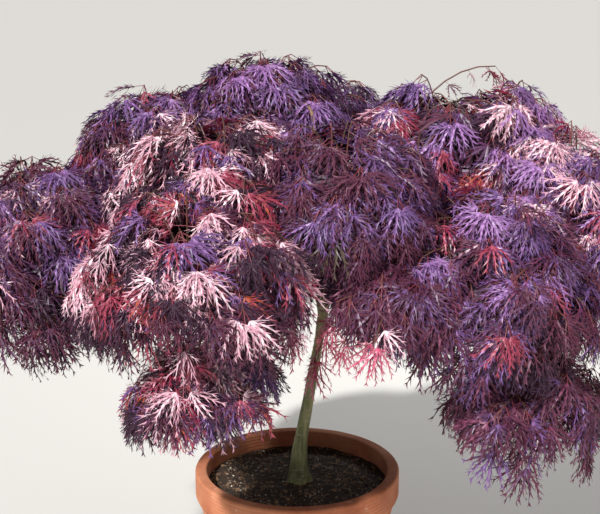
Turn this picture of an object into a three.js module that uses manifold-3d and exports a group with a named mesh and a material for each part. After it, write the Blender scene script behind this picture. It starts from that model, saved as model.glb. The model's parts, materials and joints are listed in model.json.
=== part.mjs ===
// A weeping laceleaf maple in a round clay pot, in millimetres, +Z up.
// The origin is the middle of the pot's flat underside. The viewer of the reference picture
// stands on the -Y side, so +X is to their right and +Y is away from them.
//
// The tree is an assembly: pot, compost, trunk, one tapering bough for each mass of foliage,
// and the masses. Each mass is one solid of three-sided twigs with lobed leaves fused on.

import * as THREE from "three";
import { mergeVertices } from "three/addons/utils/BufferGeometryUtils.js";
import Module from "manifold-3d";

const wasm = await Module();
wasm.setup();

// Pot and compost
const POT_HEIGHT = 360;
const RIM_RADIUS = 212;
const FOOT_RADIUS = 148;
const POT_WALL = 15;
const POT_FLOOR = 20;
const RIM_BAND_HEIGHT = 64;
const RIM_BAND_DEPTH = 9;
const LIP_ROUND = 5;
const POT_SIDES = 32;
const DRAIN_HOLES = 4;
const DRAIN_RADIUS = 9;
const DRAIN_CIRCLE = 72;
const DRAIN_SIDES = 10;
const COMPOST_BELOW_RIM = 30;
const COMPOST_FLAT_RADIUS = 75;
const COMPOST_FALL = 6;
const GROUND = POT_HEIGHT - COMPOST_BELOW_RIM;

// Trunk
const TRUNK_RISE = 450;
const TRUNK_FOOT_X = 4;
const TRUNK_LEAN = 58;
const TRUNK_LEAN_BACK = 12;
const TRUNK_FOOT_RADIUS = 14.5;
const TRUNK_TOP_RADIUS = 7.2;
const FLARE = 13;
const FLARE_HEIGHT = 26;
const FLARE_LOBES = 5;
const FLARE_LOBE_DEPTH = 0.25;
const TRUNK_SIDES = 12;
const TRUNK_STEPS = 12;
// Shares of the trunk's height, each with the shares of its lean reached there
const TRUNK_BENDS = [
  [0.12, 0, 0],
  [0.42, 0.36, 0.3],
  [0.74, 0.78, 0.8],
  [1, 1, 1],
];

// Boughs
const BOUGH_SIDES = 5;
const BOUGH_STEPS = 5;
const BOUGH_FOOT_RADIUS = 7;
const SIDE_BOUGH_FOOT_RADIUS = 5;
const BOUGH_TIP_RADIUS = 3.2;
const BOUGH_END = [-0.52, 0, 0.3];
const BOUGH_START_OUT = 0.23;
const BOUGH_START_UP = 0.38;
const BOUGH_APPROACH = 0.36;
const BOUGH_NOD = 0.12;
const BOUGH_SWING = 0.06;

// Twigs: shares are of the half sizes of the mass, radii and lengths are in millimetres
const CLEARANCE = 0.3;
const STEM_SIDES = 4;
const STEM_STEPS = 5;
const STEM_FOOT_RADIUS = 4.4;
const STEM_TIP_RADIUS = 4;
const STEM_HEADWAY = 0.45;
const STEM_BEND = [0.35, 0, 0.42];
const STEM_END = [0.62, 0, 0.05];
const TWIGS = 7;
const TWIG_SIDES = 3;
const TWIG_STEPS = 2;
const TWIG_FOOT_RADIUS = 2.7;
const TWIG_TIP_RADIUS = 2.1;
const TWIG_SHORTENINGS = [1, 0.8, 0.6];
const TWIG_FAN = 1.5;
const TWIG_JITTER = 0.5;
const TWIG_REACH = 0.56;
const TWIG_REACH_SPREAD = 0.1;
const TWIG_LIFT = 0.62;
const TWIG_RAISE = 0.18;
const TWIG_ARCH = 0.22;
const TWIG_LEAVE_MIDDLE = 0.48;
const TWIG_LEAVE_RANGE = 0.55;
const PROBES = 6;
const GOLDEN_ANGLE = Math.PI * (3 - Math.sqrt(5));

// Leaves: shares are of the leaf's length
const MOST_LEAVES = 19;
const LEAF_LENGTH = 170;
const LEAF_TO_MASS = 0.88;
const LEAF_SPREAD = 0.12;
const LEAF_THICKNESS = 5;
const LEAF_SINK = 5;
const PETIOLE_SHARE = 0.16;
const NECK_SHARE = 0.06;
const NOTCH_SHARE = 0.22;
const LOBE_SAG = 0.2;
const LOBE_ANGLES = [-78, -40, 0, 40, 78];
const LOBE_LENGTHS = [0.6, 0.88, 1, 0.88, 0.6];
const LEAF_ONWARD = 0.5;
const LEAF_ASIDE = 0.75;
const LEAF_DROOP_SPREAD = 0.15;
const FACE_UP = 0.9;
const FACE_AWAY = 0.5;
const FACE_OUTWARD = 0.4;
// Where leaves leave a twig, and to which side of it
const LEAF_PLACES = [
  { share: 1, side: 0 },
  { share: 0.7, side: -1 },
  { share: 0.45, side: 1 },
  { share: 0.85, side: 1 },
];
// A leaf that would leave its mass or cross another is tried again smaller and turned
const LEAF_ATTEMPTS = [
  { size: 1, turn: 0, droop: 0.65 },
  { size: 0.95, turn: 0.35, droop: 0.5 },
  { size: 0.95, turn: -0.35, droop: 0.5 },
  { size: 0.85, turn: 0, droop: 0.3 },
  { size: 0.8, turn: 0.6, droop: 0.7 },
  { size: 0.8, turn: -0.6, droop: 0.7 },
  { size: 0.68, turn: 0, droop: 0.5 },
];
const CELL_MARGIN = 1.2;
const LIMB_MARGIN = 1.5;
const FUSE_TOLERANCE = 0.08;
const FIRST_SEED = 11;

// Each row is a mass of foliage and the bough that carries it: its name, the limb that the bough
// leaves and at which share of that limb's length, the bearing of the mass in degrees from +X
// towards +Y, the reach and height of its middle, and its half sizes outward, sideways and up.
const ROWS = [
  ["crown_top", "trunk", 1, 125, 98, 1083, 195, 205, 132],
  ["side_left", "trunk", 0.93, 193, 492, 832, 215, 255, 215],
  ["side_right", "trunk", 0.9, 354, 492, 880, 215, 255, 222],
  ["front_left", "trunk", 0.86, 246, 425, 866, 188, 235, 176],
  ["front_right", "trunk", 0.83, 325, 435, 815, 215, 235, 200],
  ["back_middle", "trunk", 0.8, 90, 430, 790, 200, 255, 220],
  ["back_left", "trunk", 0.96, 132, 440, 840, 200, 240, 210],
  ["back_right", "trunk", 0.77, 45, 450, 840, 200, 240, 210],
  ["shoulder_left", "side_left", 0.42, 158, 285, 992, 230, 235, 156],
  ["shoulder_right", "side_right", 0.38, 6, 318, 1040, 250, 235, 160],
  ["shoulder_back", "back_middle", 0.4, 82, 285, 1005, 215, 260, 140],
  ["front_upper", "front_left", 0.4, 237, 270, 1008, 195, 220, 135],
  ["front_middle", "front_right", 0.3, 288, 255, 972, 185, 222, 165],
  ["front_skirt", "front_left", 0.55, 248, 430, 672, 165, 150, 112],
  ["front_low", "front_right", 0.45, 300, 345, 790, 165, 200, 128],
  ["right_skirt", "front_right", 0.6, 329, 482, 590, 160, 225, 168],
  ["flank_left", "back_left", 0.45, 163, 455, 735, 165, 190, 160],
  ["flank_right", "back_right", 0.5, 16, 500, 725, 165, 200, 172],
].map(([name, from, at, bearing, reach, height, out, side, up], index) => {
  const seed = FIRST_SEED + index;
  return { name, from, at, bearing, reach, height, out, side, up, seed };
});

const CLAY = new THREE.MeshStandardMaterial({ color: 0xb5694a, roughness: 0.85, metalness: 0 });
const COMPOST = new THREE.MeshStandardMaterial({ color: 0x2b1f17, roughness: 1, metalness: 0 });
const BARK = new THREE.MeshStandardMaterial({ color: 0x7a7350, roughness: 0.75, metalness: 0 });
const FOLIAGE = new THREE.MeshStandardMaterial({ color: 0x6c3c55, roughness: 0.55, metalness: 0 });

const UP = new THREE.Vector3(0, 0, 1);

function vec(x, y, z) {
  return new THREE.Vector3(x, y, z);
}

// Repeatable random numbers from 0 to 1.
function seeded(seed) {
  let state = seed >>> 0;
  return () => {
    state = (state + 0x6d2b79f5) >>> 0;
    let mixed = Math.imul(state ^ (state >>> 15), state | 1);
    mixed ^= mixed + Math.imul(mixed ^ (mixed >>> 7), mixed | 61);
    return ((mixed ^ (mixed >>> 14)) >>> 0) / 4294967296;
  };
}

// A closed geometry as a manifold solid, without the collapsed faces that poles leave.
function solidOf(geometry) {
  const bare = geometry.index ? geometry.toNonIndexed() : geometry.clone();
  bare.deleteAttribute("normal");
  bare.deleteAttribute("uv");
  const merged = mergeVertices(bare, 1e-3);
  const kept = [];
  const corners = merged.index.array;
  for (let i = 0; i < corners.length; i += 3) {
    const face = corners.slice(i, i + 3);
    if (new Set(face).size === 3) kept.push(...face);
  }
  return new wasm.Manifold(
    new wasm.Mesh({
      numProp: 3,
      vertProperties: merged.attributes.position.array,
      triVerts: Uint32Array.from(kept),
    }),
  );
}

function geometryOf(solid) {
  const mesh = solid.getMesh();
  const geometry = new THREE.BufferGeometry();
  geometry.setAttribute("position", new THREE.BufferAttribute(mesh.vertProperties, 3));
  geometry.setIndex(new THREE.BufferAttribute(mesh.triVerts, 1));
  return geometry;
}

function node(name, solid, material) {
  const mesh = new THREE.Mesh(geometryOf(solid), material);
  mesh.name = name;
  return mesh;
}

// The largest closed piece, without loose scraps or sealed hollows.
function largestPiece(solid) {
  const pieces = solid.decompose();
  pieces.sort((a, b) => b.volume() - a.volume());
  return pieces[0];
}

// A cylinder bent along a curve, with a radius for each share of its length and angle round it.
function limbSolid(curve, radiusAt, sides, steps) {
  const geometry = new THREE.CylinderGeometry(1, 1, 1, sides, steps);
  const frames = curve.computeFrenetFrames(steps, false);
  const position = geometry.attributes.position;
  const from = vec(0, 0, 0);
  for (let i = 0; i < position.count; i++) {
    from.fromBufferAttribute(position, i);
    const share = from.y + 0.5;
    const step = Math.round(share * steps);
    const radius = radiusAt(share, Math.atan2(from.z, from.x));
    const place = curve.getPointAt(step / steps);
    place.addScaledVector(frames.normals[step], from.x * radius);
    place.addScaledVector(frames.binormals[step], -from.z * radius);
    position.setXYZ(i, place.x, place.y, place.z);
  }
  return solidOf(geometry);
}

function lathed(profile, sides) {
  const points = profile.map(([radius, height]) => new THREE.Vector2(radius, height));
  const geometry = new THREE.LatheGeometry(points, sides);
  geometry.rotateX(Math.PI / 2);
  return solidOf(geometry);
}

// Pot

function outerRadiusAt(height) {
  const share = height / (POT_HEIGHT - RIM_BAND_HEIGHT);
  return THREE.MathUtils.lerp(FOOT_RADIUS, RIM_RADIUS - RIM_BAND_DEPTH, Math.min(1, share));
}

function innerRadiusAt(height) {
  return outerRadiusAt(height) - POT_WALL;
}

function potSolid() {
  const bandFoot = POT_HEIGHT - RIM_BAND_HEIGHT;
  const profile = [
    [0, 0],
    [FOOT_RADIUS - LIP_ROUND, 0],
    [FOOT_RADIUS, LIP_ROUND],
    [outerRadiusAt(bandFoot), bandFoot],
    [RIM_RADIUS, bandFoot + RIM_BAND_DEPTH],
    [RIM_RADIUS, POT_HEIGHT - LIP_ROUND],
    [RIM_RADIUS - LIP_ROUND, POT_HEIGHT],
    [innerRadiusAt(POT_HEIGHT) + LIP_ROUND, POT_HEIGHT],
    [innerRadiusAt(POT_HEIGHT), POT_HEIGHT - LIP_ROUND],
    [innerRadiusAt(bandFoot), bandFoot],
    [innerRadiusAt(POT_FLOOR), POT_FLOOR],
    [0, POT_FLOOR],
  ];
  let pot = lathed(profile, POT_SIDES);
  for (let i = 0; i < DRAIN_HOLES; i++) {
    const angle = ((i + 0.5) / DRAIN_HOLES) * 2 * Math.PI;
    const drill = new THREE.CylinderGeometry(DRAIN_RADIUS, DRAIN_RADIUS, 3 * POT_FLOOR, DRAIN_SIDES);
    drill.rotateX(Math.PI / 2);
    drill.translate(DRAIN_CIRCLE * Math.cos(angle), DRAIN_CIRCLE * Math.sin(angle), 0);
    pot = pot.subtract(solidOf(drill));
  }
  return pot;
}

// The compost fills the pot, flat round the trunk and a little lower at the wall.
function compostSolid() {
  const bandFoot = POT_HEIGHT - RIM_BAND_HEIGHT;
  const edge = GROUND - COMPOST_FALL;
  const profile = [
    [0, POT_FLOOR + CLEARANCE],
    [innerRadiusAt(POT_FLOOR) - CLEARANCE, POT_FLOOR + CLEARANCE],
    [innerRadiusAt(bandFoot) - CLEARANCE, bandFoot],
    [innerRadiusAt(edge) - CLEARANCE, edge],
    [COMPOST_FLAT_RADIUS, GROUND],
    [0, GROUND],
  ];
  return lathed(profile, POT_SIDES);
}

// Trunk

function trunkCurve() {
  const foot = vec(TRUNK_FOOT_X, 0, GROUND - FLARE_HEIGHT);
  const bends = TRUNK_BENDS.map(([height, lean, back]) =>
    vec(TRUNK_FOOT_X + lean * TRUNK_LEAN, back * TRUNK_LEAN_BACK, GROUND + height * TRUNK_RISE),
  );
  return new THREE.CatmullRomCurve3([foot, ...bends]);
}

function trunkRadius(share, angle) {
  const height = share * TRUNK_RISE;
  const taper = THREE.MathUtils.lerp(TRUNK_FOOT_RADIUS, TRUNK_TOP_RADIUS, share);
  const flare = Math.exp(-Math.max(0, height - FLARE_HEIGHT) / FLARE_HEIGHT);
  const lobes = 1 + FLARE_LOBE_DEPTH * Math.sin(FLARE_LOBES * angle);
  return taper + FLARE * flare * lobes;
}

function trunkSolid(trunk, growth) {
  const radiusAt = (share, angle) => trunkRadius(share, angle) + growth;
  return limbSolid(trunk.curve, radiusAt, TRUNK_SIDES, TRUNK_STEPS);
}

// Everything below the level at which the trunk stands on the compost.
function belowGround() {
  const depth = 4 * FLARE_HEIGHT;
  const block = new THREE.BoxGeometry(2 * RIM_RADIUS, 2 * RIM_RADIUS, depth);
  block.translate(0, 0, GROUND + CLEARANCE - depth / 2);
  return solidOf(block);
}

// The space of a mass: a dome above its middle and a fuller, hanging skirt below it.
function massSpace(row) {
  const bearing = THREE.MathUtils.degToRad(row.bearing);
  const outward = vec(Math.cos(bearing), Math.sin(bearing), 0);
  return {
    middle: outward.clone().multiplyScalar(row.reach).setZ(row.height),
    outward,
    sideways: vec(-outward.y, outward.x, 0),
    size: vec(row.out, row.side, row.up),
    meanSize: (row.out + row.side + row.up) / 3,
  };
}

function fromLocal(space, x, y, z) {
  return space.middle
    .clone()
    .addScaledVector(space.outward, x * space.size.x)
    .addScaledVector(space.sideways, y * space.size.y)
    .addScaledVector(UP, z * space.size.z);
}

function fillsSpace(space, point) {
  const from = point.clone().sub(space.middle);
  const x = from.dot(space.outward) / space.size.x;
  const y = from.dot(space.sideways) / space.size.y;
  const z = from.z / space.size.z;
  const rise = z > 0 ? z ** 2 : z ** 4;
  return x ** 2 + y ** 2 + rise <= 1;
}

// True if the point is in its own mass's cell, clear of the planes that part it from the others.
function inCell(spaces, own, point, margin) {
  const here = point.distanceToSquared(own.middle) - own.meanSize ** 2;
  return spaces.every((other) => {
    if (other === own) return true;
    const there = point.distanceToSquared(other.middle) - other.meanSize ** 2;
    return there - here > 2 * margin * own.middle.distanceTo(other.middle);
  });
}

// Boughs

// A bough rises from its parent, arches over and enters its mass from the inner side.
function boughCurve(row, parent) {
  const start = parent.curve.getPointAt(row.at);
  const end = fromLocal(row.space, ...BOUGH_END);
  const run = end.clone().sub(start);
  const length = run.length();
  const level = run.clone().setZ(0).normalize();
  const side = row.seed % 2 ? BOUGH_SWING : -BOUGH_SWING;
  const swing = level.clone().cross(UP).multiplyScalar(side * length);
  const rise = level.multiplyScalar(BOUGH_START_OUT).addScaledVector(UP, BOUGH_START_UP);
  const approach = row.space.outward.clone().addScaledVector(UP, -BOUGH_NOD).normalize();
  return new THREE.CubicBezierCurve3(
    start,
    start.clone().addScaledVector(rise, length).add(swing),
    end.clone().addScaledVector(approach, -BOUGH_APPROACH * length).sub(swing),
    end,
  );
}

function boughSolid(limb, growth) {
  const radiusAt = (share) => THREE.MathUtils.lerp(limb.foot, BOUGH_TIP_RADIUS, share) + growth;
  return limbSolid(limb.curve, radiusAt, BOUGH_SIDES, BOUGH_STEPS);
}

// Leaves

// The outline of a leaf in its own plane, x across and y along, from its foot round its lobes.
function leafOutline() {
  const palm = PETIOLE_SHARE;
  const outline = [
    [0, 0],
    [-NECK_SHARE / 2, palm - NECK_SHARE],
  ];
  LOBE_ANGLES.forEach((angle, i) => {
    const turn = THREE.MathUtils.degToRad(angle);
    const length = LOBE_LENGTHS[i] * (1 - palm);
    outline.push([length * Math.sin(turn), palm + length * Math.cos(turn)]);
    if (i < LOBE_ANGLES.length - 1) {
      const between = THREE.MathUtils.degToRad((angle + LOBE_ANGLES[i + 1]) / 2);
      outline.push([NOTCH_SHARE * Math.sin(between), palm + NOTCH_SHARE * Math.cos(between)]);
    }
  });
  outline.push([NECK_SHARE / 2, palm - NECK_SHARE]);
  return outline;
}

const OUTLINE = leafOutline();

// A leaf's corners: its outline, sagging towards the tips, then its crown and its underside.
function leafCorners(foot, along, across, face, length) {
  const at = (x, y, z) =>
    foot
      .clone()
      .addScaledVector(across, x * length)
      .addScaledVector(along, y * length)
      .addScaledVector(face, z);
  const corners = OUTLINE.map(([x, y]) => {
    const away = Math.hypot(x, Math.max(0, y - PETIOLE_SHARE));
    return at(x, y, -LOBE_SAG * away ** 2 * length);
  });
  corners.push(at(0, PETIOLE_SHARE, LEAF_THICKNESS / 2));
  corners.push(at(0, PETIOLE_SHARE, -LEAF_THICKNESS / 2));
  return corners;
}

function leafSolid(corners) {
  const rim = corners.length - 2;
  const [crown, underside] = [rim, rim + 1];
  const faces = [];
  for (let i = 0; i < rim; i++) {
    const next = (i + 1) % rim;
    faces.push(crown, next, i);
    faces.push(underside, i, next);
  }
  const position = new THREE.Float32BufferAttribute(corners.flatMap((corner) => corner.toArray()), 3);
  const geometry = new THREE.BufferGeometry();
  geometry.setAttribute("position", position);
  geometry.setIndex(faces);
  return solidOf(geometry);
}

function touches(one, other) {
  return !one.intersect(other).isEmpty();
}

// Twigs

// The stem goes on from the bough's tip and arches over the middle of its mass.
function stemCurve(space, bough) {
  const heading = bough.curve.getTangentAt(1);
  const start = bough.curve.getPointAt(1).addScaledVector(heading, CLEARANCE);
  return new THREE.CubicBezierCurve3(
    start,
    start.clone().addScaledVector(heading, STEM_HEADWAY * space.size.x),
    fromLocal(space, ...STEM_BEND),
    fromLocal(space, ...STEM_END),
  );
}

// Twig k of a mass aims at one of a set of points spread evenly over the mass's outer shell.
function twigAim(k, random) {
  const lift = 1 - ((k + 0.5) / TWIGS) * TWIG_FAN;
  const turn = k * GOLDEN_ANGLE + TWIG_JITTER * (random() - 0.5);
  const reach = (TWIG_REACH + TWIG_REACH_SPREAD * random()) * Math.sqrt(1 - lift ** 2);
  return [reach * Math.cos(turn), reach * Math.sin(turn), TWIG_LIFT * lift + TWIG_RAISE];
}

// A twig leaves the stem below its aim and arches to it.
function twigCurve(space, stem, aim) {
  const leave = TWIG_LEAVE_MIDDLE + TWIG_LEAVE_RANGE * THREE.MathUtils.clamp(aim[0], -1, 1);
  const start = stem.getPoint(leave);
  const end = fromLocal(space, ...aim);
  const bend = start.clone().lerp(end, 0.5);
  bend.addScaledVector(UP, TWIG_ARCH * start.distanceTo(end));
  return new THREE.QuadraticBezierCurve3(start, bend, end);
}

// The point at a share of a twig's straight steps, and the heading of the twig there.
function placeOnTwig(twig, share) {
  const step = Math.min(TWIG_STEPS - 1, Math.floor(share * TWIG_STEPS));
  const from = twig.getPointAt(step / TWIG_STEPS);
  const to = twig.getPointAt((step + 1) / TWIG_STEPS);
  const heading = to.clone().sub(from).normalize();
  return { point: from.lerp(to, share * TWIG_STEPS - step), heading };
}

// A leaf hangs from its foot on the twig, with its face up and away from the tree.
function hangLeaf(space, twig, place, attempt, random) {
  const { point, heading } = placeOnTwig(twig, place.share);
  const foot = point.addScaledVector(heading, -LEAF_SINK * place.share);
  const aside = heading.clone().cross(UP).normalize();
  const along = heading
    .clone()
    .multiplyScalar(LEAF_ONWARD)
    .addScaledVector(aside, place.side * LEAF_ASIDE + attempt.turn)
    .addScaledVector(UP, -attempt.droop - LEAF_DROOP_SPREAD * random())
    .normalize();
  const away = foot.clone().sub(space.middle).setZ(0).normalize();
  const face = away
    .multiplyScalar(FACE_AWAY)
    .addScaledVector(UP, FACE_UP)
    .addScaledVector(space.outward, FACE_OUTWARD);
  face.addScaledVector(along, -face.dot(along)).normalize();
  const full = Math.min(LEAF_LENGTH, LEAF_TO_MASS * space.meanSize);
  const length = full * attempt.size * (1 + LEAF_SPREAD * (random() - 0.5));
  return leafCorners(foot, along, along.clone().cross(face), face, length);
}

// The twigs of a mass that stay in its space and clear of every limb.
function growTwigs(space, stem, keeps, limbs, random) {
  const radiusAt = (share) => THREE.MathUtils.lerp(TWIG_FOOT_RADIUS, TWIG_TIP_RADIUS, share);
  const twigs = [];
  for (let k = 0; k < TWIGS; k++) {
    const aim = twigAim(k, random);
    for (const shortening of TWIG_SHORTENINGS) {
      const curve = twigCurve(space, stem, aim.map((share) => share * shortening));
      const solid = limbSolid(curve, radiusAt, TWIG_SIDES, TWIG_STEPS);
      if (!keeps(curve.getSpacedPoints(PROBES), TWIG_FOOT_RADIUS) || touches(solid, limbs)) continue;
      twigs.push({ curve, solid, leaves: [] });
      break;
    }
  }
  return twigs;
}

// The leaves of a mass, at the twigs' tips first so that its outline is reached. Each twig keeps
// its own, because one that stays bare is cut off.
function growLeaves(space, twigs, stem, keeps, limbs, random) {
  let leaves = wasm.Manifold.union([]);
  let count = 0;
  for (const place of LEAF_PLACES) {
    for (const twig of twigs) {
      if (count === MOST_LEAVES) break;
      const others = twigs.filter((other) => other !== twig).map((other) => other.solid);
      const obstacles = wasm.Manifold.union([limbs, stem, leaves, ...others]);
      for (const attempt of LEAF_ATTEMPTS) {
        const corners = hangLeaf(space, twig.curve, place, attempt, random);
        if (!keeps(corners, CELL_MARGIN)) continue;
        const leaf = leafSolid(corners);
        if (touches(leaf, obstacles)) continue;
        twig.leaves.push(leaf);
        leaves = leaves.add(leaf);
        count += 1;
        break;
      }
    }
  }
}

// One mass: its stem, twigs and leaves fused into one solid.
function massSolid(row, spaces, limbs) {
  const space = row.space;
  const random = seeded(row.seed);
  const keeps = (points, margin) =>
    points.every((point) => fillsSpace(space, point) && inCell(spaces, space, point, margin));
  const curve = stemCurve(space, row.limb);
  if (!keeps(curve.getSpacedPoints(PROBES), STEM_FOOT_RADIUS)) {
    throw new Error(`the stem of ${row.name} leaves its space`);
  }
  const radiusAt = (share) => THREE.MathUtils.lerp(STEM_FOOT_RADIUS, STEM_TIP_RADIUS, share);
  const stem = limbSolid(curve, radiusAt, STEM_SIDES, STEM_STEPS);
  const twigs = growTwigs(space, curve, keeps, limbs, random);
  growLeaves(space, twigs, stem, keeps, limbs, random);
  const leafy = twigs.filter((twig) => twig.leaves.length > 0);
  const parts = leafy.flatMap((twig) => [twig.solid, ...twig.leaves]);
  return largestPiece(wasm.Manifold.union([stem, ...parts]).simplify(FUSE_TOLERANCE));
}

// The assembly

function plantedMaple() {
  const plant = new THREE.Group();
  plant.add(node("pot", potSolid(), CLAY));
  plant.add(node("compost", compostSolid(), COMPOST));

  const trunk = { curve: trunkCurve() };
  plant.add(node("trunk", largestPiece(trunkSolid(trunk, 0).subtract(belowGround())), BARK));

  const rows = ROWS.map((row) => ({ ...row, space: massSpace(row) }));
  const spaces = rows.map((row) => row.space);
  const grown = [trunkSolid(trunk, CLEARANCE)];
  const guarded = [trunkSolid(trunk, LIMB_MARGIN)];
  for (const row of rows) {
    const parent = rows.find((other) => other.name === row.from)?.limb ?? trunk;
    const foot = parent === trunk ? BOUGH_FOOT_RADIUS : SIDE_BOUGH_FOOT_RADIUS;
    row.limb = { curve: boughCurve(row, parent), foot };
    const cut = boughSolid(row.limb, 0).subtract(wasm.Manifold.union(grown));
    plant.add(node(`bough_${row.name}`, largestPiece(cut), BARK));
    grown.push(boughSolid(row.limb, CLEARANCE));
    guarded.push(boughSolid(row.limb, LIMB_MARGIN));
  }

  const limbs = wasm.Manifold.union(guarded);
  for (const row of rows) {
    plant.add(node(`mass_${row.name}`, massSolid(row, spaces, limbs), FOLIAGE));
  }
  return plant;
}

export default plantedMaple();
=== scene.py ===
# %% [markdown]
# # A weeping laceleaf maple in a clay pot
#
# The tree is a grafted maple of the weeping, finely cut kind. Its boughs arch over and hang, so
# the crown is a broad mound of tiers, and its purple leaves are cut almost to the rib. It grows
# in a plain thrown clay pot.
#
# Everything is placed in the frame of the CAD model, in metres: the origin is the middle of the
# pot's underside, +Z is up and the picture is taken from the -Y side.

# %% The fixed frame
import json
import math
import random

import bmesh
import bpy
import numpy as np
from mathutils import Matrix, Vector, noise
from mathutils.kdtree import KDTree

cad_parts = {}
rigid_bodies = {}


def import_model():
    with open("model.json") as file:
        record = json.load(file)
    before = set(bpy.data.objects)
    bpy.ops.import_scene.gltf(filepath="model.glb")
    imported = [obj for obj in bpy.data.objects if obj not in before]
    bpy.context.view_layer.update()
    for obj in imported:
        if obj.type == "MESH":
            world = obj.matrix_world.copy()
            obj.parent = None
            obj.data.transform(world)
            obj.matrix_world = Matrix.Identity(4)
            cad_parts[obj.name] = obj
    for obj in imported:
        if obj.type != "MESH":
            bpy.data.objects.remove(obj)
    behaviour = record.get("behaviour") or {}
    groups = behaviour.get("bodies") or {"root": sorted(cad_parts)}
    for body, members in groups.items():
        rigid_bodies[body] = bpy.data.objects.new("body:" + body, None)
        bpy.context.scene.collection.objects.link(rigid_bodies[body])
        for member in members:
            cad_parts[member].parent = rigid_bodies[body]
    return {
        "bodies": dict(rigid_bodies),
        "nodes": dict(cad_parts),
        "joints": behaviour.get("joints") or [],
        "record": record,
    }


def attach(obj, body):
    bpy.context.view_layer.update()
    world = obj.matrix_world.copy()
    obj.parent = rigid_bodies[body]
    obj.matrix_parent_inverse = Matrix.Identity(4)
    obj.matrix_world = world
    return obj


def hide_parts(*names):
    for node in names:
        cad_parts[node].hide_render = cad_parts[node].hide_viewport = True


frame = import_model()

MM = 0.001
TINY = 1e-9
UP = Vector((0, 0, 1))
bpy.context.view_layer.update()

# %% [markdown]
# ## Colours and nodes
#
# Colours are given in sRGB, as hex, but shaders add and multiply light, so they take
# linear numbers. One function converts them all. A second function adds a node to a material
# with its settings and links, which keeps each material readable as a short recipe.

# %% Colours and nodes
def linear(shade):
    """An sRGB hex colour as linear red, green, blue and alpha."""
    parts = [int(shade[i : i + 2], 16) / 255 for i in (0, 2, 4)]
    return [p / 12.92 if p <= 0.04045 else ((p + 0.055) / 1.055) ** 2.4 for p in parts] + [1.0]


def add(material, kind, sockets=(), **settings):
    """Adds a node. A socket is given a value, or the output that feeds it."""
    node = material.node_tree.nodes.new(kind)
    for name, value in settings.items():
        setattr(node, name, value)
    for socket, value in dict(sockets).items():
        if isinstance(value, bpy.types.NodeSocket):
            material.node_tree.links.new(value, node.inputs[socket])
        else:
            node.inputs[socket].default_value = value
    return node


def finish_called(name, shade, roughness, ior=1.5):
    """A new material with one plain surface, to which a recipe may add its patterns."""
    material = bpy.data.materials.new(name)
    material.use_nodes = True
    surface = material.node_tree.nodes["Principled BSDF"]
    surface.inputs["Base Color"].default_value = linear(shade)
    surface.inputs["Roughness"].default_value = roughness
    surface.inputs["IOR"].default_value = ior
    return material, surface


def feed(material, surface, **outputs):
    """Links outputs into the surface's sockets, written with _ for a space."""
    for socket, output in outputs.items():
        material.node_tree.links.new(output, surface.inputs[socket.replace("_", " ")])


def per_metre(size):
    """A pattern's scale from the real size of its features in millimetres."""
    return 1 / (size * MM)


print("a neutral grey is", [round(value, 3) for value in linear("808080")])

# %% [markdown]
# ## The picture's point of view
#
# The picture looks at the tree from a little above, about 15 degrees, from roughly two and a half
# metres away. The camera is made first, so that every later step can be looked at through it.

# %% Camera
AIM = Vector((0.006, 0, 0.812))
DISTANCE = 2.6
ELEVATION = math.radians(15)
HALF_WIDTH_SEEN = 0.6

lens = bpy.data.cameras.new("camera")
lens.sensor_fit = "HORIZONTAL"
lens.angle = 2 * math.atan(HALF_WIDTH_SEEN / DISTANCE)
camera = bpy.data.objects.new("camera", lens)
camera.location = AIM + DISTANCE * Vector((0, -math.cos(ELEVATION), math.sin(ELEVATION)))
camera.rotation_euler = (AIM - camera.location).to_track_quat("-Z", "Y").to_euler()
bpy.context.scene.collection.objects.link(camera)
bpy.context.scene.camera = camera
print("camera at", [round(value, 3) for value in camera.location])

# %% [markdown]
# ## Studio
#
# The tree stands on a plain pale floor that runs on past the picture's edge, so no line shows
# behind it. A sun lamp high on the left makes the glossy leaves gleam and throws the soft-edged
# shadows that part one tier from the next. A weaker lamp fills the right, and a third from
# behind parts the crown from the background.

# %% Floor and lights
FLOOR_HALF = 400.0
# Kind of each lamp, where it shines from, how wide it is and how strong
LIGHTS = [
    ("sun", "SUN", (-1.3, -2.3, 3.2), math.radians(3), 4.8),
    ("fill", "AREA", (2.6, -2.6, 2.2), 2.0, 32),
    ("rim", "AREA", (0.6, 3.0, 2.6), 1.8, 45),
]
SKY_SHADE = "eef0f2"
SKY_STRENGTH = 0.34

floor_mesh = bmesh.new()
bmesh.ops.create_grid(floor_mesh, x_segments=1, y_segments=1, size=FLOOR_HALF)
floor_data = bpy.data.meshes.new("floor")
floor_mesh.to_mesh(floor_data)
floor_mesh.free()
floor = bpy.data.objects.new("floor", floor_data)
floor_data.materials.append(finish_called("floor_paint", "c9c6c1", 0.7)[0])
bpy.context.scene.collection.objects.link(floor)

for name, kind, place, width, power in LIGHTS:
    light = bpy.data.lights.new(name, kind)
    if kind == "SUN":
        light.angle = width
    else:
        light.shape = "DISK"
        light.size = width
    light.energy = power
    lamp = bpy.data.objects.new(name, light)
    lamp.location = place
    lamp.rotation_euler = (AIM - Vector(place)).to_track_quat("-Z", "Y").to_euler()
    bpy.context.scene.collection.objects.link(lamp)

sky = bpy.data.worlds.new("sky")
sky.use_nodes = True
sky.node_tree.nodes["Background"].inputs["Color"].default_value = linear(SKY_SHADE)
sky.node_tree.nodes["Background"].inputs["Strength"].default_value = SKY_STRENGTH
bpy.context.scene.world = sky
bpy.context.scene.view_settings.view_transform = "Standard"
print(len(LIGHTS), "lights")

# %% [markdown]
# ## Helpers that turn a bmesh into a piece
#
# A piece is one object whose place is in its mesh. It rides on the model's one body, takes the
# finishes it is given and stands for the plain CAD node in the same place, which is hidden. Round
# forms are shaded smooth, with true edges kept where two faces meet at more than 40 degrees.

# %% Pieces
SHARP = math.radians(40)


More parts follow.
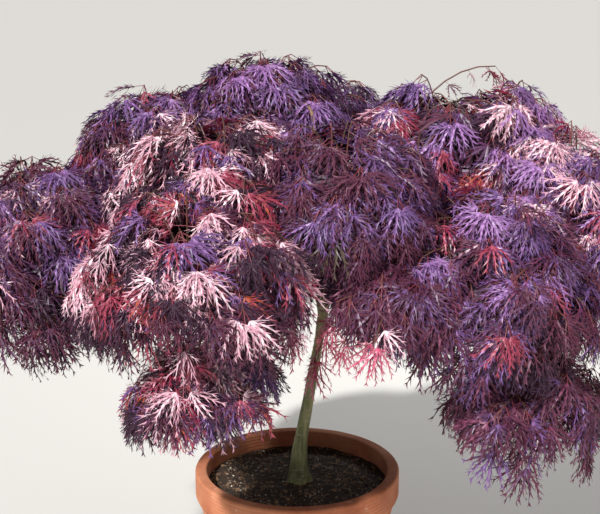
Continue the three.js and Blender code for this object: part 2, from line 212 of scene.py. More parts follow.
def carried(mesh, nodes, materials, smooth=True):
    """Makes an object of a mesh, gives it its body and hides the nodes it stands for."""
    obj = bpy.data.objects.new(mesh.name, mesh)
    bpy.context.scene.collection.objects.link(obj)
    for material in materials:
        mesh.materials.append(material)
    if smooth:
        mesh.shade_smooth()
        mesh.set_sharp_from_angle(angle=SHARP)
    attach(obj, "root")
    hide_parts(*nodes)
    mesh.calc_loop_triangles()
    print(f"{mesh.name}: {len(mesh.loop_triangles)} triangles")


def mesh_of(name, bm):
    """A mesh from a bmesh, which is then freed."""
    mesh = bpy.data.meshes.new(name)
    bm.to_mesh(mesh)
    bm.free()
    return mesh


print("edges that turn over", round(math.degrees(SHARP)), "degrees stay sharp")

# %% [markdown]
# ## The clay pot
#
# A plant pot is thrown on a wheel: a tapering wall with a thick band at the rim, and fine rings
# left by the fingers. A wheel is what the spin operator is. A profile of a few vertices is spun
# round Z, its edges are bevelled as a wet sponge rounds them, and the wall is cut into narrow
# rings that move in and out by a third of a millimetre.

# %% Pot shape
POT_HEIGHT = 360 * MM
RIM_RADIUS = 212 * MM
FOOT_RADIUS = 148 * MM
POT_WALL = 15 * MM
POT_FLOOR = 20 * MM
BAND_HEIGHT = 64 * MM
BAND_DEPTH = 9 * MM
BAND_FOOT = POT_HEIGHT - BAND_HEIGHT
SPIN_STEPS = 112
ONE_PLACE = 0.01 * MM
POT_EDGE = math.radians(25)
SPONGED = 4.5 * MM
SPONGED_STEPS = 4
THROWING_RINGS = 46
RING_SPACING = 7.5 * MM
RING_DEPTH = 0.35 * MM
HAND_WOBBLE = 0.7 * MM
WOBBLE_SIZE = 250


def outer_radius(height):
    """The pot's outer radius below its band."""
    share = min(1, height / BAND_FOOT)
    return FOOT_RADIUS + (RIM_RADIUS - BAND_DEPTH - FOOT_RADIUS) * share


def inner_radius(height):
    """The pot's inner radius below its band, carried on up to the rim."""
    return outer_radius(height) - POT_WALL


POT_PROFILE = [
    (0, 0),
    (FOOT_RADIUS, 0),
    (outer_radius(BAND_FOOT), BAND_FOOT),
    (RIM_RADIUS, BAND_FOOT + BAND_DEPTH),
    (RIM_RADIUS, POT_HEIGHT),
    (inner_radius(POT_HEIGHT), POT_HEIGHT),
    (inner_radius(BAND_FOOT), BAND_FOOT),
    (inner_radius(POT_FLOOR), POT_FLOOR),
    (0, POT_FLOOR),
]


def spun(profile, steps):
    """A profile of radius and height turned once round Z, closed at its poles."""
    bm = bmesh.new()
    last = bm.verts.new((profile[0][0], 0, profile[0][1]))
    for radius, height in profile[1:]:
        grown = bmesh.ops.extrude_vert_indiv(bm, verts=[last])
        last = grown["verts"][0]
        last.co = (radius, 0, height)
    bmesh.ops.spin(
        bm,
        geom=bm.verts[:] + bm.edges[:],
        cent=(0, 0, 0),
        axis=(0, 0, 1),
        angle=2 * math.pi,
        steps=steps,
        use_merge=True,
    )
    bmesh.ops.remove_doubles(bm, verts=bm.verts, dist=ONE_PLACE)
    bmesh.ops.recalc_face_normals(bm, faces=bm.faces)
    return bm


def rings_of(bm, turned):
    """The level edges where the surface turns by more than an angle."""
    level = [e for e in bm.edges if abs(e.verts[0].co.z - e.verts[1].co.z) < ONE_PLACE]
    return [e for e in level if e.is_manifold and abs(e.calc_face_angle(0)) > turned]


pot = spun(POT_PROFILE, SPIN_STEPS)
bmesh.ops.bevel(
    pot,
    geom=rings_of(pot, POT_EDGE),
    offset=SPONGED,
    offset_type="OFFSET",
    segments=SPONGED_STEPS,
    profile=0.5,
    material=-1,
    affect="EDGES",
)
walls = [
    e
    for e in pot.edges
    if abs(e.verts[0].co.z - e.verts[1].co.z) > BAND_HEIGHT / 2
    and min(v.co.xy.length for v in e.verts) > FOOT_RADIUS - POT_WALL
]
bmesh.ops.subdivide_edges(pot, edges=walls, cuts=THROWING_RINGS, use_grid_fill=True)
for corner in pot.verts:
    outwards = Vector((corner.co.x, corner.co.y, 0))
    if outwards.length < FOOT_RADIUS - 2 * POT_WALL:
        continue
    ripple = RING_DEPTH * math.sin(2 * math.pi * corner.co.z / RING_SPACING)
    wobble = HAND_WOBBLE * noise.noise(corner.co * per_metre(WOBBLE_SIZE))
    corner.co += outwards.normalized() * (ripple + wobble)
print("pot corners", len(pot.verts))

# %% [markdown]
# ## Drainage holes
#
# The potter pushes four holes through the floor of the pot. Each one is cut by a boolean with a
# plain drill, and the result is applied, so that the finished mesh holds the holes and no
# modifier is left on it.

# %% Drainage holes
DRAIN_HOLES = 4
DRAIN_RADIUS = 9 * MM
DRAIN_CIRCLE = 72 * MM
DRILL_SIDES = 24

drills = bmesh.new()
for i in range(DRAIN_HOLES):
    turn = (i + 0.5) / DRAIN_HOLES * 2 * math.pi
    spot = Vector((math.cos(turn), math.sin(turn), 0)) * DRAIN_CIRCLE
    bmesh.ops.create_cone(
        drills,
        cap_ends=True,
        segments=DRILL_SIDES,
        radius1=DRAIN_RADIUS,
        radius2=DRAIN_RADIUS,
        depth=3 * POT_FLOOR,
        matrix=Matrix.Translation(spot),
    )
blank = bpy.data.objects.new("blank", mesh_of("blank", pot))
drill = bpy.data.objects.new("drill", mesh_of("drill", drills))
for tool in (blank, drill):
    bpy.context.scene.collection.objects.link(tool)
cut = blank.modifiers.new("holes", "BOOLEAN")
cut.operation = "DIFFERENCE"
cut.solver = "EXACT"
cut.object = drill
pot_mesh = bpy.data.meshes.new_from_object(blank.evaluated_get(bpy.context.evaluated_depsgraph_get()))
pot_mesh.name = "clay_pot"
for tool in (blank, drill):
    bpy.data.objects.remove(tool)
print("pot faces with its holes", len(pot_mesh.polygons))

# %% [markdown]
# ## Fired clay
#
# Terracotta is unglazed, so it has no gloss. What the eye reads is its colour: iron-rich patches
# a hand wide from the kiln, grog specks of a millimetre, and the pale bloom of lime that damp
# leaves low on the wall. The bump is the drag of fine grit.

# %% Terracotta
terracotta, clay = finish_called("terracotta_unglazed", "b8704c", 0.88)
place = add(terracotta, "ShaderNodeTexCoord").outputs["Object"]
kiln = add(
    terracotta,
    "ShaderNodeTexNoise",
    {"Vector": place, "Scale": per_metre(95), "Detail": 4.0, "Roughness": 0.55},
)
patches = add(terracotta, "ShaderNodeValToRGB", {"Fac": kiln.outputs["Fac"]})
patches.color_ramp.elements[0].position = 0.36
patches.color_ramp.elements[0].color = linear("a65c3b")
patches.color_ramp.elements[1].position = 0.66
patches.color_ramp.elements[1].color = linear("c88460")

# The lime bloom is a patchy noise that is let through low on the wall and fades upwards.
height = add(terracotta, "ShaderNodeSeparateXYZ", {"Vector": place}).outputs["Z"]
damp = add(
    terracotta,
    "ShaderNodeMapRange",
    {"Value": height, "From Min": 0.0, "From Max": 0.2, "To Min": 0.16, "To Max": -0.06},
).outputs["Result"]
crust = add(
    terracotta,
    "ShaderNodeTexNoise",
    {"Vector": place, "Scale": per_metre(30), "Detail": 7.0, "Roughness": 0.68},
)
raised = add(terracotta, "ShaderNodeMath", {0: crust.outputs["Fac"], 1: damp}).outputs["Value"]
bloom = add(terracotta, "ShaderNodeValToRGB", {"Fac": raised})
bloom.color_ramp.elements[0].position = 0.56
bloom.color_ramp.elements[1].position = 0.74
limed = add(
    terracotta,
    "ShaderNodeMix",
    {0: bloom.outputs["Color"], 6: patches.outputs["Color"], 7: linear("dcc3ab")},
    data_type="RGBA",
)
grog = add(terracotta, "ShaderNodeTexVoronoi", {"Vector": place, "Scale": per_metre(3.2)})
specks = add(terracotta, "ShaderNodeValToRGB", {"Fac": grog.outputs["Distance"]})
specks.color_ramp.elements[0].position = 0.1
specks.color_ramp.elements[0].color = (0.45, 0.45, 0.45, 1)
specks.color_ramp.elements[1].position = 0.2
speckled = add(
    terracotta,
    "ShaderNodeMix",
    {0: 0.55, 6: limed.outputs[2], 7: specks.outputs["Color"]},
    data_type="RGBA",
    blend_type="MULTIPLY",
)
grit = add(
    terracotta,
    "ShaderNodeTexNoise",
    {"Vector": place, "Scale": per_metre(2.2), "Detail": 3.0},
)
drag = add(
    terracotta,
    "ShaderNodeBump",
    {"Strength": 0.35, "Distance": 0.0006, "Height": grit.outputs["Fac"]},
)
feed(terracotta, clay, Base_Color=speckled.outputs[2], Normal=drag.outputs["Normal"])
carried(pot_mesh, ["pot"], [terracotta])

# %% [markdown]
# ## Compost
#
# The pot is filled to two fingers below its rim. Potting compost is dark crumbs of rotted bark
# with a few pale bits of grit, a little lower at the wall where watering washes it down. The
# body is one spun solid whose top is pushed up and down by noise. On it lie some 2,400 chips and
# crumbs of three kinds, and each kind is one small shape that is copied.

# %% Compost body
GROUND = 330 * MM
COMPOST_FLAT = 75 * MM
COMPOST_FALL = 6 * MM
GAP = 0.3 * MM
CLODS = 3.2 * MM
CLOD_SIZE = 42
CRUMBS = 1.6 * MM
CRUMB_SIZE = 11


def compost_height(x, y):
    """The height of the compost's surface at a place."""
    reach = inner_radius(GROUND) - COMPOST_FLAT
    fall = min(1, max(0, (math.hypot(x, y) - COMPOST_FLAT) / reach))
    clods = CLODS * noise.noise(Vector((x, y, 0.3)) * per_metre(CLOD_SIZE))
    crumbs = CRUMBS * noise.noise(Vector((x, y, 0.7)) * per_metre(CRUMB_SIZE))
    return GROUND - COMPOST_FALL * fall + clods + crumbs


SURFACE_RINGS = 44
compost_edge = inner_radius(GROUND) - GAP
surface = [(compost_edge * (1 - i / SURFACE_RINGS), GROUND) for i in range(SURFACE_RINGS + 1)]
foot = inner_radius(POT_FLOOR) - GAP
compost = spun([(0, POT_FLOOR + GAP), (foot, POT_FLOOR + GAP)] + surface, SPIN_STEPS)
for corner in compost.verts:
    if corner.co.z > GROUND - CLODS:
        corner.co.z = compost_height(corner.co.x, corner.co.y)
print("compost corners", len(compost.verts))

# %% [markdown]
# ## Copies of a small shape
#
# Thousands of chips, shoots and leaves would be slow as objects or as bmesh faces. So each small
# shape is modelled once with bmesh operators and read into arrays, the arrays are moved to every
# place at once, and the result is joined into one mesh.

# %% Stamping
def shape_of(bm):
    """A small bmesh as arrays: its corners, and the corners, sides and slots of its faces."""
    bm.verts.index_update()
    faces = list(bm.faces)
    shape = {
        "corners": np.array([corner.co for corner in bm.verts]),
        "loops": np.array([corner.index for face in faces for corner in face.verts]),
        "sides": np.array([len(face.verts) for face in faces]),
        "slots": np.array([face.material_index for face in faces]),
    }
    bm.free()
    return shape


def joined(name, batches):
    """One mesh of many copies. A batch is a shape, its copies' corners and their faces' slots."""
    corners, loops, sides, slots = [], [], [], []
    so_far = 0
    for shape, placed, tints in batches:
        copies, count, _ = placed.shape
        shift = so_far + count * np.arange(copies)[:, None]
        corners.append(placed.reshape(-1, 3))
        loops.append((shape["loops"][None] + shift).ravel())
        sides.append(np.tile(shape["sides"], copies))
        slots.append(np.broadcast_to(tints, (copies, len(shape["sides"]))).ravel())
        so_far += copies * count
    sides = np.concatenate(sides)
    mesh = bpy.data.meshes.new(name)
    mesh.vertices.add(so_far)
    mesh.vertices.foreach_set("co", np.concatenate(corners).astype(np.float32).ravel())
    mesh.loops.add(int(sides.sum()))
    mesh.loops.foreach_set("vertex_index", np.concatenate(loops).astype(np.int32))
    mesh.polygons.add(len(sides))
    mesh.polygons.foreach_set("loop_start", (np.cumsum(sides) - sides).astype(np.int32))
    mesh.polygons.foreach_set("material_index", np.concatenate(slots).astype(np.int32))
    mesh.update(calc_edges=True)
    mesh.validate()
    return mesh


print("arrays ready")

# %% [markdown]
# ## Bark chips and grit
#
# The crumbs that lie on the compost are flat chips of bark and rounder bits of grit. Both start
# as an icosphere of 20 faces with its corners pushed about, squashed to the size of a chip. The
# biggest lie nearly level, as loose flat things do.

# %% Chips
CHIP_KINDS = [
    # how many, half sizes in millimetres, greatest tilt in degrees, slots to choose from
    (620, (7.5, 4.2, 1.7), 28, (1, 1, 2)),
    (1300, (2.8, 2.2, 1.2), 40, (1, 2, 2)),
    (520, (1.9, 1.6, 1.3), 90, (3, 3, 2)),
]
CHIP_LUMPS = (0.72, 1.2)
CHIP_SIZES = (0.6, 1.35)
# Shares of the compost's top between which chips lie, clear of the trunk and of the wall
STREWN_BETWEEN = (0.02, 0.97)
chip_dice = np.random.default_rng(5)


def chip_shape():
    """A lumpy chip of radius 1."""
    bm = bmesh.new()
    bmesh.ops.create_icosphere(bm, subdivisions=1, radius=1)
    for corner in bm.verts:
        corner.co *= chip_dice.uniform(*CHIP_LUMPS)
    return shape_of(bm)


def tumbled(count, tilt):
    """Turns any way round Z, with a tilt of up to some degrees."""
    turns = []
    for _ in range(count):
        lean = Matrix.Rotation(math.radians(chip_dice.uniform(-tilt, tilt)), 3, "X")
        turns.append(Matrix.Rotation(chip_dice.uniform(0, 2 * math.pi), 3, "Z") @ lean)
    return np.array(turns)


def strewn(kind):
    """One kind of chip, strewn over the compost but not into the trunk."""
    count, half_sizes, tilt, slots = kind
    shape = chip_shape()
    out = np.sqrt(chip_dice.uniform(*STREWN_BETWEEN, count)) * compost_edge
    turn = chip_dice.uniform(0, 2 * math.pi, count)
    x, y = out * np.cos(turn), out * np.sin(turn)
    z = np.array([compost_height(a, b) for a, b in zip(x, y)])
    sizes = np.array(half_sizes) * MM * chip_dice.uniform(*CHIP_SIZES, (count, 1, 1))
    placed = np.einsum("nij,nkj->nki", tumbled(count, tilt), shape["corners"] * sizes)
    placed += np.stack([x, y, z], axis=1)[:, None]
    return shape, placed, chip_dice.choice(slots, (count, 1))


print(sum(kind[0] for kind in CHIP_KINDS), "chips to strew")

# %% Compost finish
compost_finish, crumbly = finish_called("compost_moist", "2b2018", 0.95)
place = add(compost_finish, "ShaderNodeTexCoord").outputs["Object"]
fibres = add(
    compost_finish,
    "ShaderNodeTexNoise",
    {"Vector": place, "Scale": per_metre(5), "Detail": 6.0, "Roughness": 0.7},
)
rotted = add(compost_finish, "ShaderNodeValToRGB", {"Fac": fibres.outputs["Fac"]})
rotted.color_ramp.elements[0].position = 0.38
rotted.color_ramp.elements[0].color = linear("1a130e")
rotted.color_ramp.elements[1].position = 0.72
rotted.color_ramp.elements[1].color = linear("4a3626")
lumps = add(
    compost_finish,
    "ShaderNodeBump",
    {"Strength": 0.9, "Distance": 0.002, "Height": fibres.outputs["Fac"]},
)
feed(compost_finish, crumbly, Base_Color=rotted.outputs["Color"], Normal=lumps.outputs["Normal"])


def chip_finish(name, dark, light, roughness):
    """Weathered bark or stone, mottled from one colour to another every few millimetres."""
    material, surface = finish_called(name, dark, roughness)
    spot = add(material, "ShaderNodeTexCoord").outputs["Object"]
    mottle = add(material, "ShaderNodeTexNoise", {"Vector": spot, "Scale": per_metre(7)})
    shades = add(material, "ShaderNodeValToRGB", {"Fac": mottle.outputs["Fac"]})
    shades.color_ramp.elements[0].position = 0.35
    shades.color_ramp.elements[0].color = linear(dark)
    shades.color_ramp.elements[1].position = 0.65
    shades.color_ramp.elements[1].color = linear(light)
    feed(material, surface, Base_Color=shades.outputs["Color"])
    return material


chip_finishes = [
    chip_finish("bark_chip_dark", "2e2018", "503826", 0.85),
    chip_finish("bark_chip_weathered", "5d432e", "8a6c4e", 0.85),
    chip_finish("grit_quartz", "8f877a", "c9c1b2", 0.6),
]
compost_shape = shape_of(compost)
body = (compost_shape, compost_shape["corners"][None], 0)
carried(
    joined("potting_compost", [body] + [strewn(kind) for kind in CHIP_KINDS]),
    ["compost"],
    [compost_finish] + chip_finishes,
)

# %% [markdown]
# ## Lines that limbs follow
#
# Every limb is drawn first as a line. The trunk passes through a few knots, and a bough is a
# Bezier curve that rises and then nods. A line is walked in even steps, so that a share of it is
# always the same share of its length. These are the lines of the CAD model, so each limb stays
# in its place.

# %% Lines
LINE_STEPS = 120
TRUNK_SAMPLES = 200


def bezier(knots, share):
    """A point on a Bezier curve, by drawing its knots together."""
    points = list(knots)
    while len(points) > 1:
        points = [a.lerp(b, share) for a, b in zip(points, points[1:])]
    return points[0]


def through(knots, share):
    """A point on the smooth curve through all its knots."""
    spread = [knots[0] * 2 - knots[1], *knots, knots[-1] * 2 - knots[-2]]
    first = min(int(share * (len(knots) - 1)), len(knots) - 2)
    t = share * (len(knots) - 1) - first
    p0, p1, p2, p3 = spread[first : first + 4]
    g0, g1, g2 = [math.sqrt((b - a).length) for a, b in ((p0, p1), (p1, p2), (p2, p3))]
    leave = ((p1 - p0) / g0 - (p2 - p0) / (g0 + g1) + (p2 - p1) / g1) * g1
    arrive = ((p2 - p1) / g1 - (p3 - p1) / (g1 + g2) + (p3 - p2) / g2) * g1
    square = 3 * (p2 - p1) - 2 * leave - arrive
    cube = 2 * (p1 - p2) + leave + arrive
    return p1 + leave * t + square * t**2 + cube * t**3


def even(points, steps):
    """Points at even distances along a line of close points."""
    gone = [0.0]
    for a, b in zip(points, points[1:]):
        gone.append(gone[-1] + (b - a).length)
    evened = []
    i = 0
    for step in range(steps + 1):
        wanted = gone[-1] * step / steps
        while i < len(points) - 2 and gone[i + 1] < wanted:
            i += 1
        share = (wanted - gone[i]) / max(gone[i + 1] - gone[i], TINY)
        evened.append(points[i].lerp(points[i + 1], share))
    return evened


def walked(curve, knots, samples, steps):
    """A curve as points at even distances, read off from close samples of it."""
    return even([curve(knots, i / samples) for i in range(samples + 1)], steps)


def place_on(line, share):
    """The place at a share of a line's length."""
    spot = share * (len(line) - 1)
    i = min(int(spot), len(line) - 2)
    return line[i].lerp(line[i + 1], spot - i)


def heading_on(line, share):
    """The direction of a line at a share of its length."""
    step = 0.5 / (len(line) - 1)
    return (place_on(line, min(1, share + step)) - place_on(line, max(0, share - step))).normalized()


TRUNK_RISE = 450 * MM
TRUNK_FOOT_X = 4 * MM
TRUNK_LEAN = 58 * MM
TRUNK_LEAN_BACK = 12 * MM
FLARE_HEIGHT = 26 * MM
# Shares of the trunk's height, each with the shares of its lean to the side and to the back
TRUNK_BENDS = [(0.12, 0, 0), (0.42, 0.36, 0.3), (0.74, 0.78, 0.8), (1, 1, 1)]

trunk_knots = [Vector((TRUNK_FOOT_X, 0, GROUND - FLARE_HEIGHT))] + [
    Vector((TRUNK_FOOT_X + lean * TRUNK_LEAN, back * TRUNK_LEAN_BACK, GROUND + rise * TRUNK_RISE))
    for rise, lean, back in TRUNK_BENDS
]
trunk_line = walked(through, trunk_knots, TRUNK_SAMPLES, LINE_STEPS)
print("trunk ends at", [round(value, 3) for value in trunk_line[-1]])

# %% [markdown]
# ## Masses and boughs
#
# The crown is 18 masses of foliage, each on its own bough. A row below gives the limb that the
# bough leaves and where, the bearing, reach and height of the mass's middle, and its half sizes
# outward, sideways and up. They are the rows of the CAD model.

# %% Rows of the crown
ROWS = [
    ("crown_top", "trunk", 1, 125, 98, 1083, 195, 205, 132),
    ("side_left", "trunk", 0.93, 193, 492, 832, 215, 255, 215),
    ("side_right", "trunk", 0.9, 354, 492, 880, 215, 255, 222),
    ("front_left", "trunk", 0.86, 246, 425, 866, 188, 235, 176),
    ("front_right", "trunk", 0.83, 325, 435, 815, 215, 235, 200),
    ("back_middle", "trunk", 0.8, 90, 430, 790, 200, 255, 220),
    ("back_left", "trunk", 0.96, 132, 440, 840, 200, 240, 210),
    ("back_right", "trunk", 0.77, 45, 450, 840, 200, 240, 210),
    ("shoulder_left", "side_left", 0.42, 158, 285, 992, 230, 235, 156),
    ("shoulder_right", "side_right", 0.38, 6, 318, 1040, 250, 235, 160),
    ("shoulder_back", "back_middle", 0.4, 82, 285, 1005, 215, 260, 140),
    ("front_upper", "front_left", 0.4, 237, 270, 1008, 195, 220, 135),
    ("front_middle", "front_right", 0.3, 288, 255, 972, 185, 222, 165),
    ("front_skirt", "front_left", 0.55, 248, 430, 672, 165, 150, 112),
    ("front_low", "front_right", 0.45, 300, 345, 790, 165, 200, 128),
    ("right_skirt", "front_right", 0.6, 329, 482, 590, 160, 225, 168),
    ("flank_left", "back_left", 0.45, 163, 455, 735, 165, 190, 160),
    ("flank_right", "back_right", 0.5, 16, 500, 725, 165, 200, 172),
]
FIRST_SEED = 11


def mass_of(index, row):
    """A row as a mass: its middle, its own directions and its half sizes in metres."""
    name, parent, at, bearing, reach, height, out, side, up = row
    turn = math.radians(bearing)
    outward = Vector((math.cos(turn), math.sin(turn), 0))
    return {
        "name": name,
        "parent": parent,
        "at": at,
        "seed": FIRST_SEED + index,
        "middle": outward * reach * MM + UP * height * MM,
        "outward": outward,
        "sideways": Vector((-outward.y, outward.x, 0)),
        "size": Vector((out, side, up)) * MM,
        "mean": (out + side + up) / 3 * MM,
    }


masses = [mass_of(index, row) for index, row in enumerate(ROWS)]


def inside(mass, x, y, z):
    """The point at shares of a mass's half sizes from its middle."""
    return (
        mass["middle"]
        + mass["outward"] * (x * mass["size"].x)
        + mass["sideways"] * (y * mass["size"].y)
        + UP * (z * mass["size"].z)
    )


print(len(masses), "masses")

# %% [markdown]
# ## Boughs as lines
#
# A bough of a weeping tree climbs from its parent, arches over and comes down into its mass from
# the inner side. Its foot is thicker than its tip, as each fork shares out the sap.

# %% Bough lines
BOUGH_SAMPLES = 100
BOUGH_END = (-0.52, 0, 0.3)
BOUGH_START_OUT = 0.23
BOUGH_START_UP = 0.38
BOUGH_APPROACH = 0.36
BOUGH_NOD = 0.12
BOUGH_SWING = 0.06
BOUGH_FOOT_RADIUS = 7 * MM
SIDE_BOUGH_FOOT_RADIUS = 5 * MM
BOUGH_TIP_RADIUS = 3.2 * MM


def bough_line(mass, parent_line):
    """The arch of a bough from its place on the parent into its mass."""
    start = place_on(parent_line, mass["at"])
    end = inside(mass, *BOUGH_END)
    run = end - start
    level = Vector((run.x, run.y, 0)).normalized()
    side = BOUGH_SWING if mass["seed"] % 2 else -BOUGH_SWING
    swing = level.cross(UP) * side * run.length
    rise = level * BOUGH_START_OUT + UP * BOUGH_START_UP
    approach = (mass["outward"] - UP * BOUGH_NOD).normalized()
    knots = [
        start,
        start + rise * run.length + swing,
        end - approach * BOUGH_APPROACH * run.length - swing,
        end,
    ]
    return walked(bezier, knots, BOUGH_SAMPLES, LINE_STEPS)


for mass in masses:
    parent = next((other for other in masses if other["name"] == mass["parent"]), None)
    mass["bough"] = bough_line(mass, parent["bough"] if parent else trunk_line)
    mass["bough_foot"] = SIDE_BOUGH_FOOT_RADIUS if parent else BOUGH_FOOT_RADIUS
print("longest bough", round(max((m["bough"][-1] - m["bough"][0]).length for m in masses), 3))

# %% [markdown]
# ## Limbs with bark relief
#
# A limb could be a curve with a bevel, but bark needs a radius that changes round the limb as
# well as along it. So a cylinder is cut into rings and bent along its line, and every corner's
# radius comes from a function: taper, root flare, the swelling of the graft, collars at the
# forks, shallow furrows, and the raised level bands in which a maple's bark breathes.

# %% Bent tubes
# The radius in millimetres of the limb on which the width of a furrow is true
LIMB_RADIUS_READ = 12


def carried_frames(line, rings):
    """The place and two cross directions of each ring, turned as little as the line allows."""
    frames = []
    across = heading_on(line, 0).orthogonal()
    for ring in range(rings + 1):
        heading = heading_on(line, ring / rings)
        across = (across - heading * across.dot(heading)).normalized()
        frames.append((place_on(line, ring / rings), across, heading.cross(across)))
    return frames


def straight_tube(sides, rings):
    """A closed tube of radius 1 from z -0.5 to 0.5, cut into rings."""
    bm = bmesh.new()
    bmesh.ops.create_cone(bm, cap_ends=True, segments=sides, radius1=1, radius2=1, depth=1)
    long = [e for e in bm.edges if abs(e.verts[0].co.z - e.verts[1].co.z) > 0.5]
    bmesh.ops.subdivide_edges(bm, edges=long, cuts=rings - 1, use_grid_fill=True)
    return bm


def bent_tube(line, radius_at, sides, rings):
    """A tube bent along a line, with a radius for each share of it and angle round it."""
    bm = straight_tube(sides, rings)
    frames = carried_frames(line, rings)
    for corner in bm.verts:
        share = corner.co.z + 0.5
        angle = math.atan2(corner.co.y, corner.co.x)
        spot, across, aside = frames[round(share * rings)]
        out = across * math.cos(angle) + aside * math.sin(angle)
        corner.co = spot + out * radius_at(share, angle)
    return bm


def furrows(angle, height, wide, tall):
    """A noise wrapped round a limb, its features this wide and tall in millimetres."""
    around = Vector((math.cos(angle), math.sin(angle), 0)) * (LIMB_RADIUS_READ / wide)
    return noise.noise(around + UP * height * per_metre(tall))


print("a tube of 12 sides and 10 rings has", len(straight_tube(12, 10).faces), "faces")

# %% Trunk
TRUNK_FOOT_RADIUS = 14.5 * MM
TRUNK_TOP_RADIUS = 7.2 * MM
FLARE = 13 * MM
FLARE_LOBES = 5
FLARE_LOBE_DEPTH = 0.25
GRAFT_HEIGHT = 78 * MM
GRAFT_SWELLING = 1.6 * MM
GRAFT_SPREAD = 20 * MM
BAND_RELIEF = 0.5 * MM
BAND_SIZE = (9, 5)
FURROW_RELIEF = 0.9 * MM
FURROW_SIZE = (6, 55)
FORK_SWELLING = 2.2 * MM
FORK_SPREAD = 22 * MM
TRUNK_SIDES = 40
TRUNK_RINGS = 190
trunk_forks = [mass["at"] for mass in masses if mass["parent"] == "trunk"]


def trunk_radius(share, angle):
    """The trunk's radius at a share of its height and an angle round it."""
    height = share * TRUNK_RISE
    taper = TRUNK_FOOT_RADIUS + (TRUNK_TOP_RADIUS - TRUNK_FOOT_RADIUS) * share
    flare = FLARE * math.exp(-max(0, height - FLARE_HEIGHT) / FLARE_HEIGHT)
    lobes = 1 + FLARE_LOBE_DEPTH * math.sin(FLARE_LOBES * angle)
    graft = GRAFT_SWELLING * math.exp(-(((height - GRAFT_HEIGHT) / GRAFT_SPREAD) ** 2))
    near = min(abs(height - at * TRUNK_RISE) for at in trunk_forks)
    fork = FORK_SWELLING * math.exp(-((near / FORK_SPREAD) ** 2))
    bands = BAND_RELIEF * furrows(angle, height, *BAND_SIZE)
    grooves = FURROW_RELIEF * furrows(angle, height, *FURROW_SIZE)
    return taper + flare * lobes + graft + fork + bands + grooves


trunk_mesh = mesh_of("trunk_bark", bent_tube(trunk_line, trunk_radius, TRUNK_SIDES, TRUNK_RINGS))
print("trunk corners", len(trunk_mesh.vertices))

# %% [markdown]
# ## Maple bark
#
# Young maple bark is smooth and olive green, with thin level bands of pale corky pores, and it
# turns reddish brown in the younger wood above. The bands are a noise that is stretched sideways:
# its features are 14 mm wide and 2.5 mm tall. The green deepens in long upright streaks.

# %% Bark finish
bark, bark_surface = finish_called("maple_bark_young", "6b6a46", 0.62)
place = add(bark, "ShaderNodeTexCoord").outputs["Object"]
streaks_place = add(
    bark,
    "ShaderNodeMapping",
    {"Vector": place, "Scale": (per_metre(9), per_metre(9), per_metre(70))},
).outputs["Vector"]
streaks = add(bark, "ShaderNodeTexNoise", {"Vector": streaks_place, "Scale": 1.0, "Detail": 4.0})
greens = add(bark, "ShaderNodeValToRGB", {"Fac": streaks.outputs["Fac"]})
greens.color_ramp.elements[0].position = 0.34
greens.color_ramp.elements[0].color = linear("5a5d37")
greens.color_ramp.elements[1].position = 0.68
greens.color_ramp.elements[1].color = linear("a39d6e")
middle_green = greens.color_ramp.elements.new(0.5)
middle_green.color = linear("7f8155")
bands_place = add(
    bark,
    "ShaderNodeMapping",
    {"Vector": place, "Scale": (per_metre(14), per_metre(14), per_metre(2.5))},
).outputs["Vector"]
bands = add(bark, "ShaderNodeTexNoise", {"Vector": bands_place, "Scale": 1.0, "Detail": 3.0})
pores = add(bark, "ShaderNodeValToRGB", {"Fac": bands.outputs["Fac"]})
pores.color_ramp.elements[0].position = 0.6
pores.color_ramp.elements[1].position = 0.7
height = add(bark, "ShaderNodeSeparateXYZ", {"Vector": place}).outputs["Z"]
younger = add(
    bark,
    "ShaderNodeMapRange",
    {"Value": height, "From Min": 0.58, "From Max": 0.8, "To Min": 0.0, "To Max": 0.8},
).outputs["Result"]
reddened = add(
    bark,
    "ShaderNodeMix",
    {0: younger, 6: greens.outputs["Color"], 7: linear("7d5344")},
    data_type="RGBA",
)
corky = add(
    bark,
    "ShaderNodeMix",
    {0: pores.outputs["Color"], 6: reddened.outputs[2], 7: linear("a89f84")},
    data_type="RGBA",
)
ridges = add(
    bark,
    "ShaderNodeBump",
    {"Strength": 0.6, "Distance": 0.001, "Height": bands.outputs["Fac"]},
)
feed(bark, bark_surface, Base_Color=corky.outputs[2], Normal=ridges.outputs["Normal"])
carried(trunk_mesh, ["trunk"], [bark])

# %% Boughs
BOUGH_SIDES = 14
BOUGH_RINGS = 44
COLLAR = 2.6 * MM
COLLAR_SPREAD = 16 * MM
BOUGH_RELIEF = 0.5 * MM
BOUGH_FURROW_SIZE = (7, 26)


def bough_mesh(mass):
    """A bough with a collar at its foot, its taper and its furrows."""
    length = (mass["bough"][1] - mass["bough"][0]).length * LINE_STEPS

    def radius_at(share, angle):
        taper = mass["bough_foot"] + (BOUGH_TIP_RADIUS - mass["bough_foot"]) * share
        gone = share * length
        collar = COLLAR * math.exp(-gone / COLLAR_SPREAD)
        relief = BOUGH_RELIEF * furrows(angle, gone + mass["seed"], *BOUGH_FURROW_SIZE)
        return taper + collar + relief

    bm = bent_tube(mass["bough"], radius_at, BOUGH_SIDES, BOUGH_RINGS)
    return mesh_of("limb_" + mass["name"], bm)


for mass in masses:
    carried(bough_mesh(mass), ["bough_" + mass["name"]], [bark])

# %% [markdown]
# ## The space of a mass
#
# Foliage fills a mass as it does in the CAD model: a dome above its middle and a fuller, hanging
# skirt below. Where two masses meet, a plane parts them. Here a leaf may cross that plane by a
# finger's length, so that neighbouring masses mingle as real ones do. Nothing grows through a
# limb. Two hollows are kept free of leaves, but for those of a few lone shoots: one over the right
# shoulder, in the outline, and one in front of the trunk's upper end, which opens the view of it.

# %% Space
MINGLE = 62 * MM
NEAR_LIMB = 2 * MM
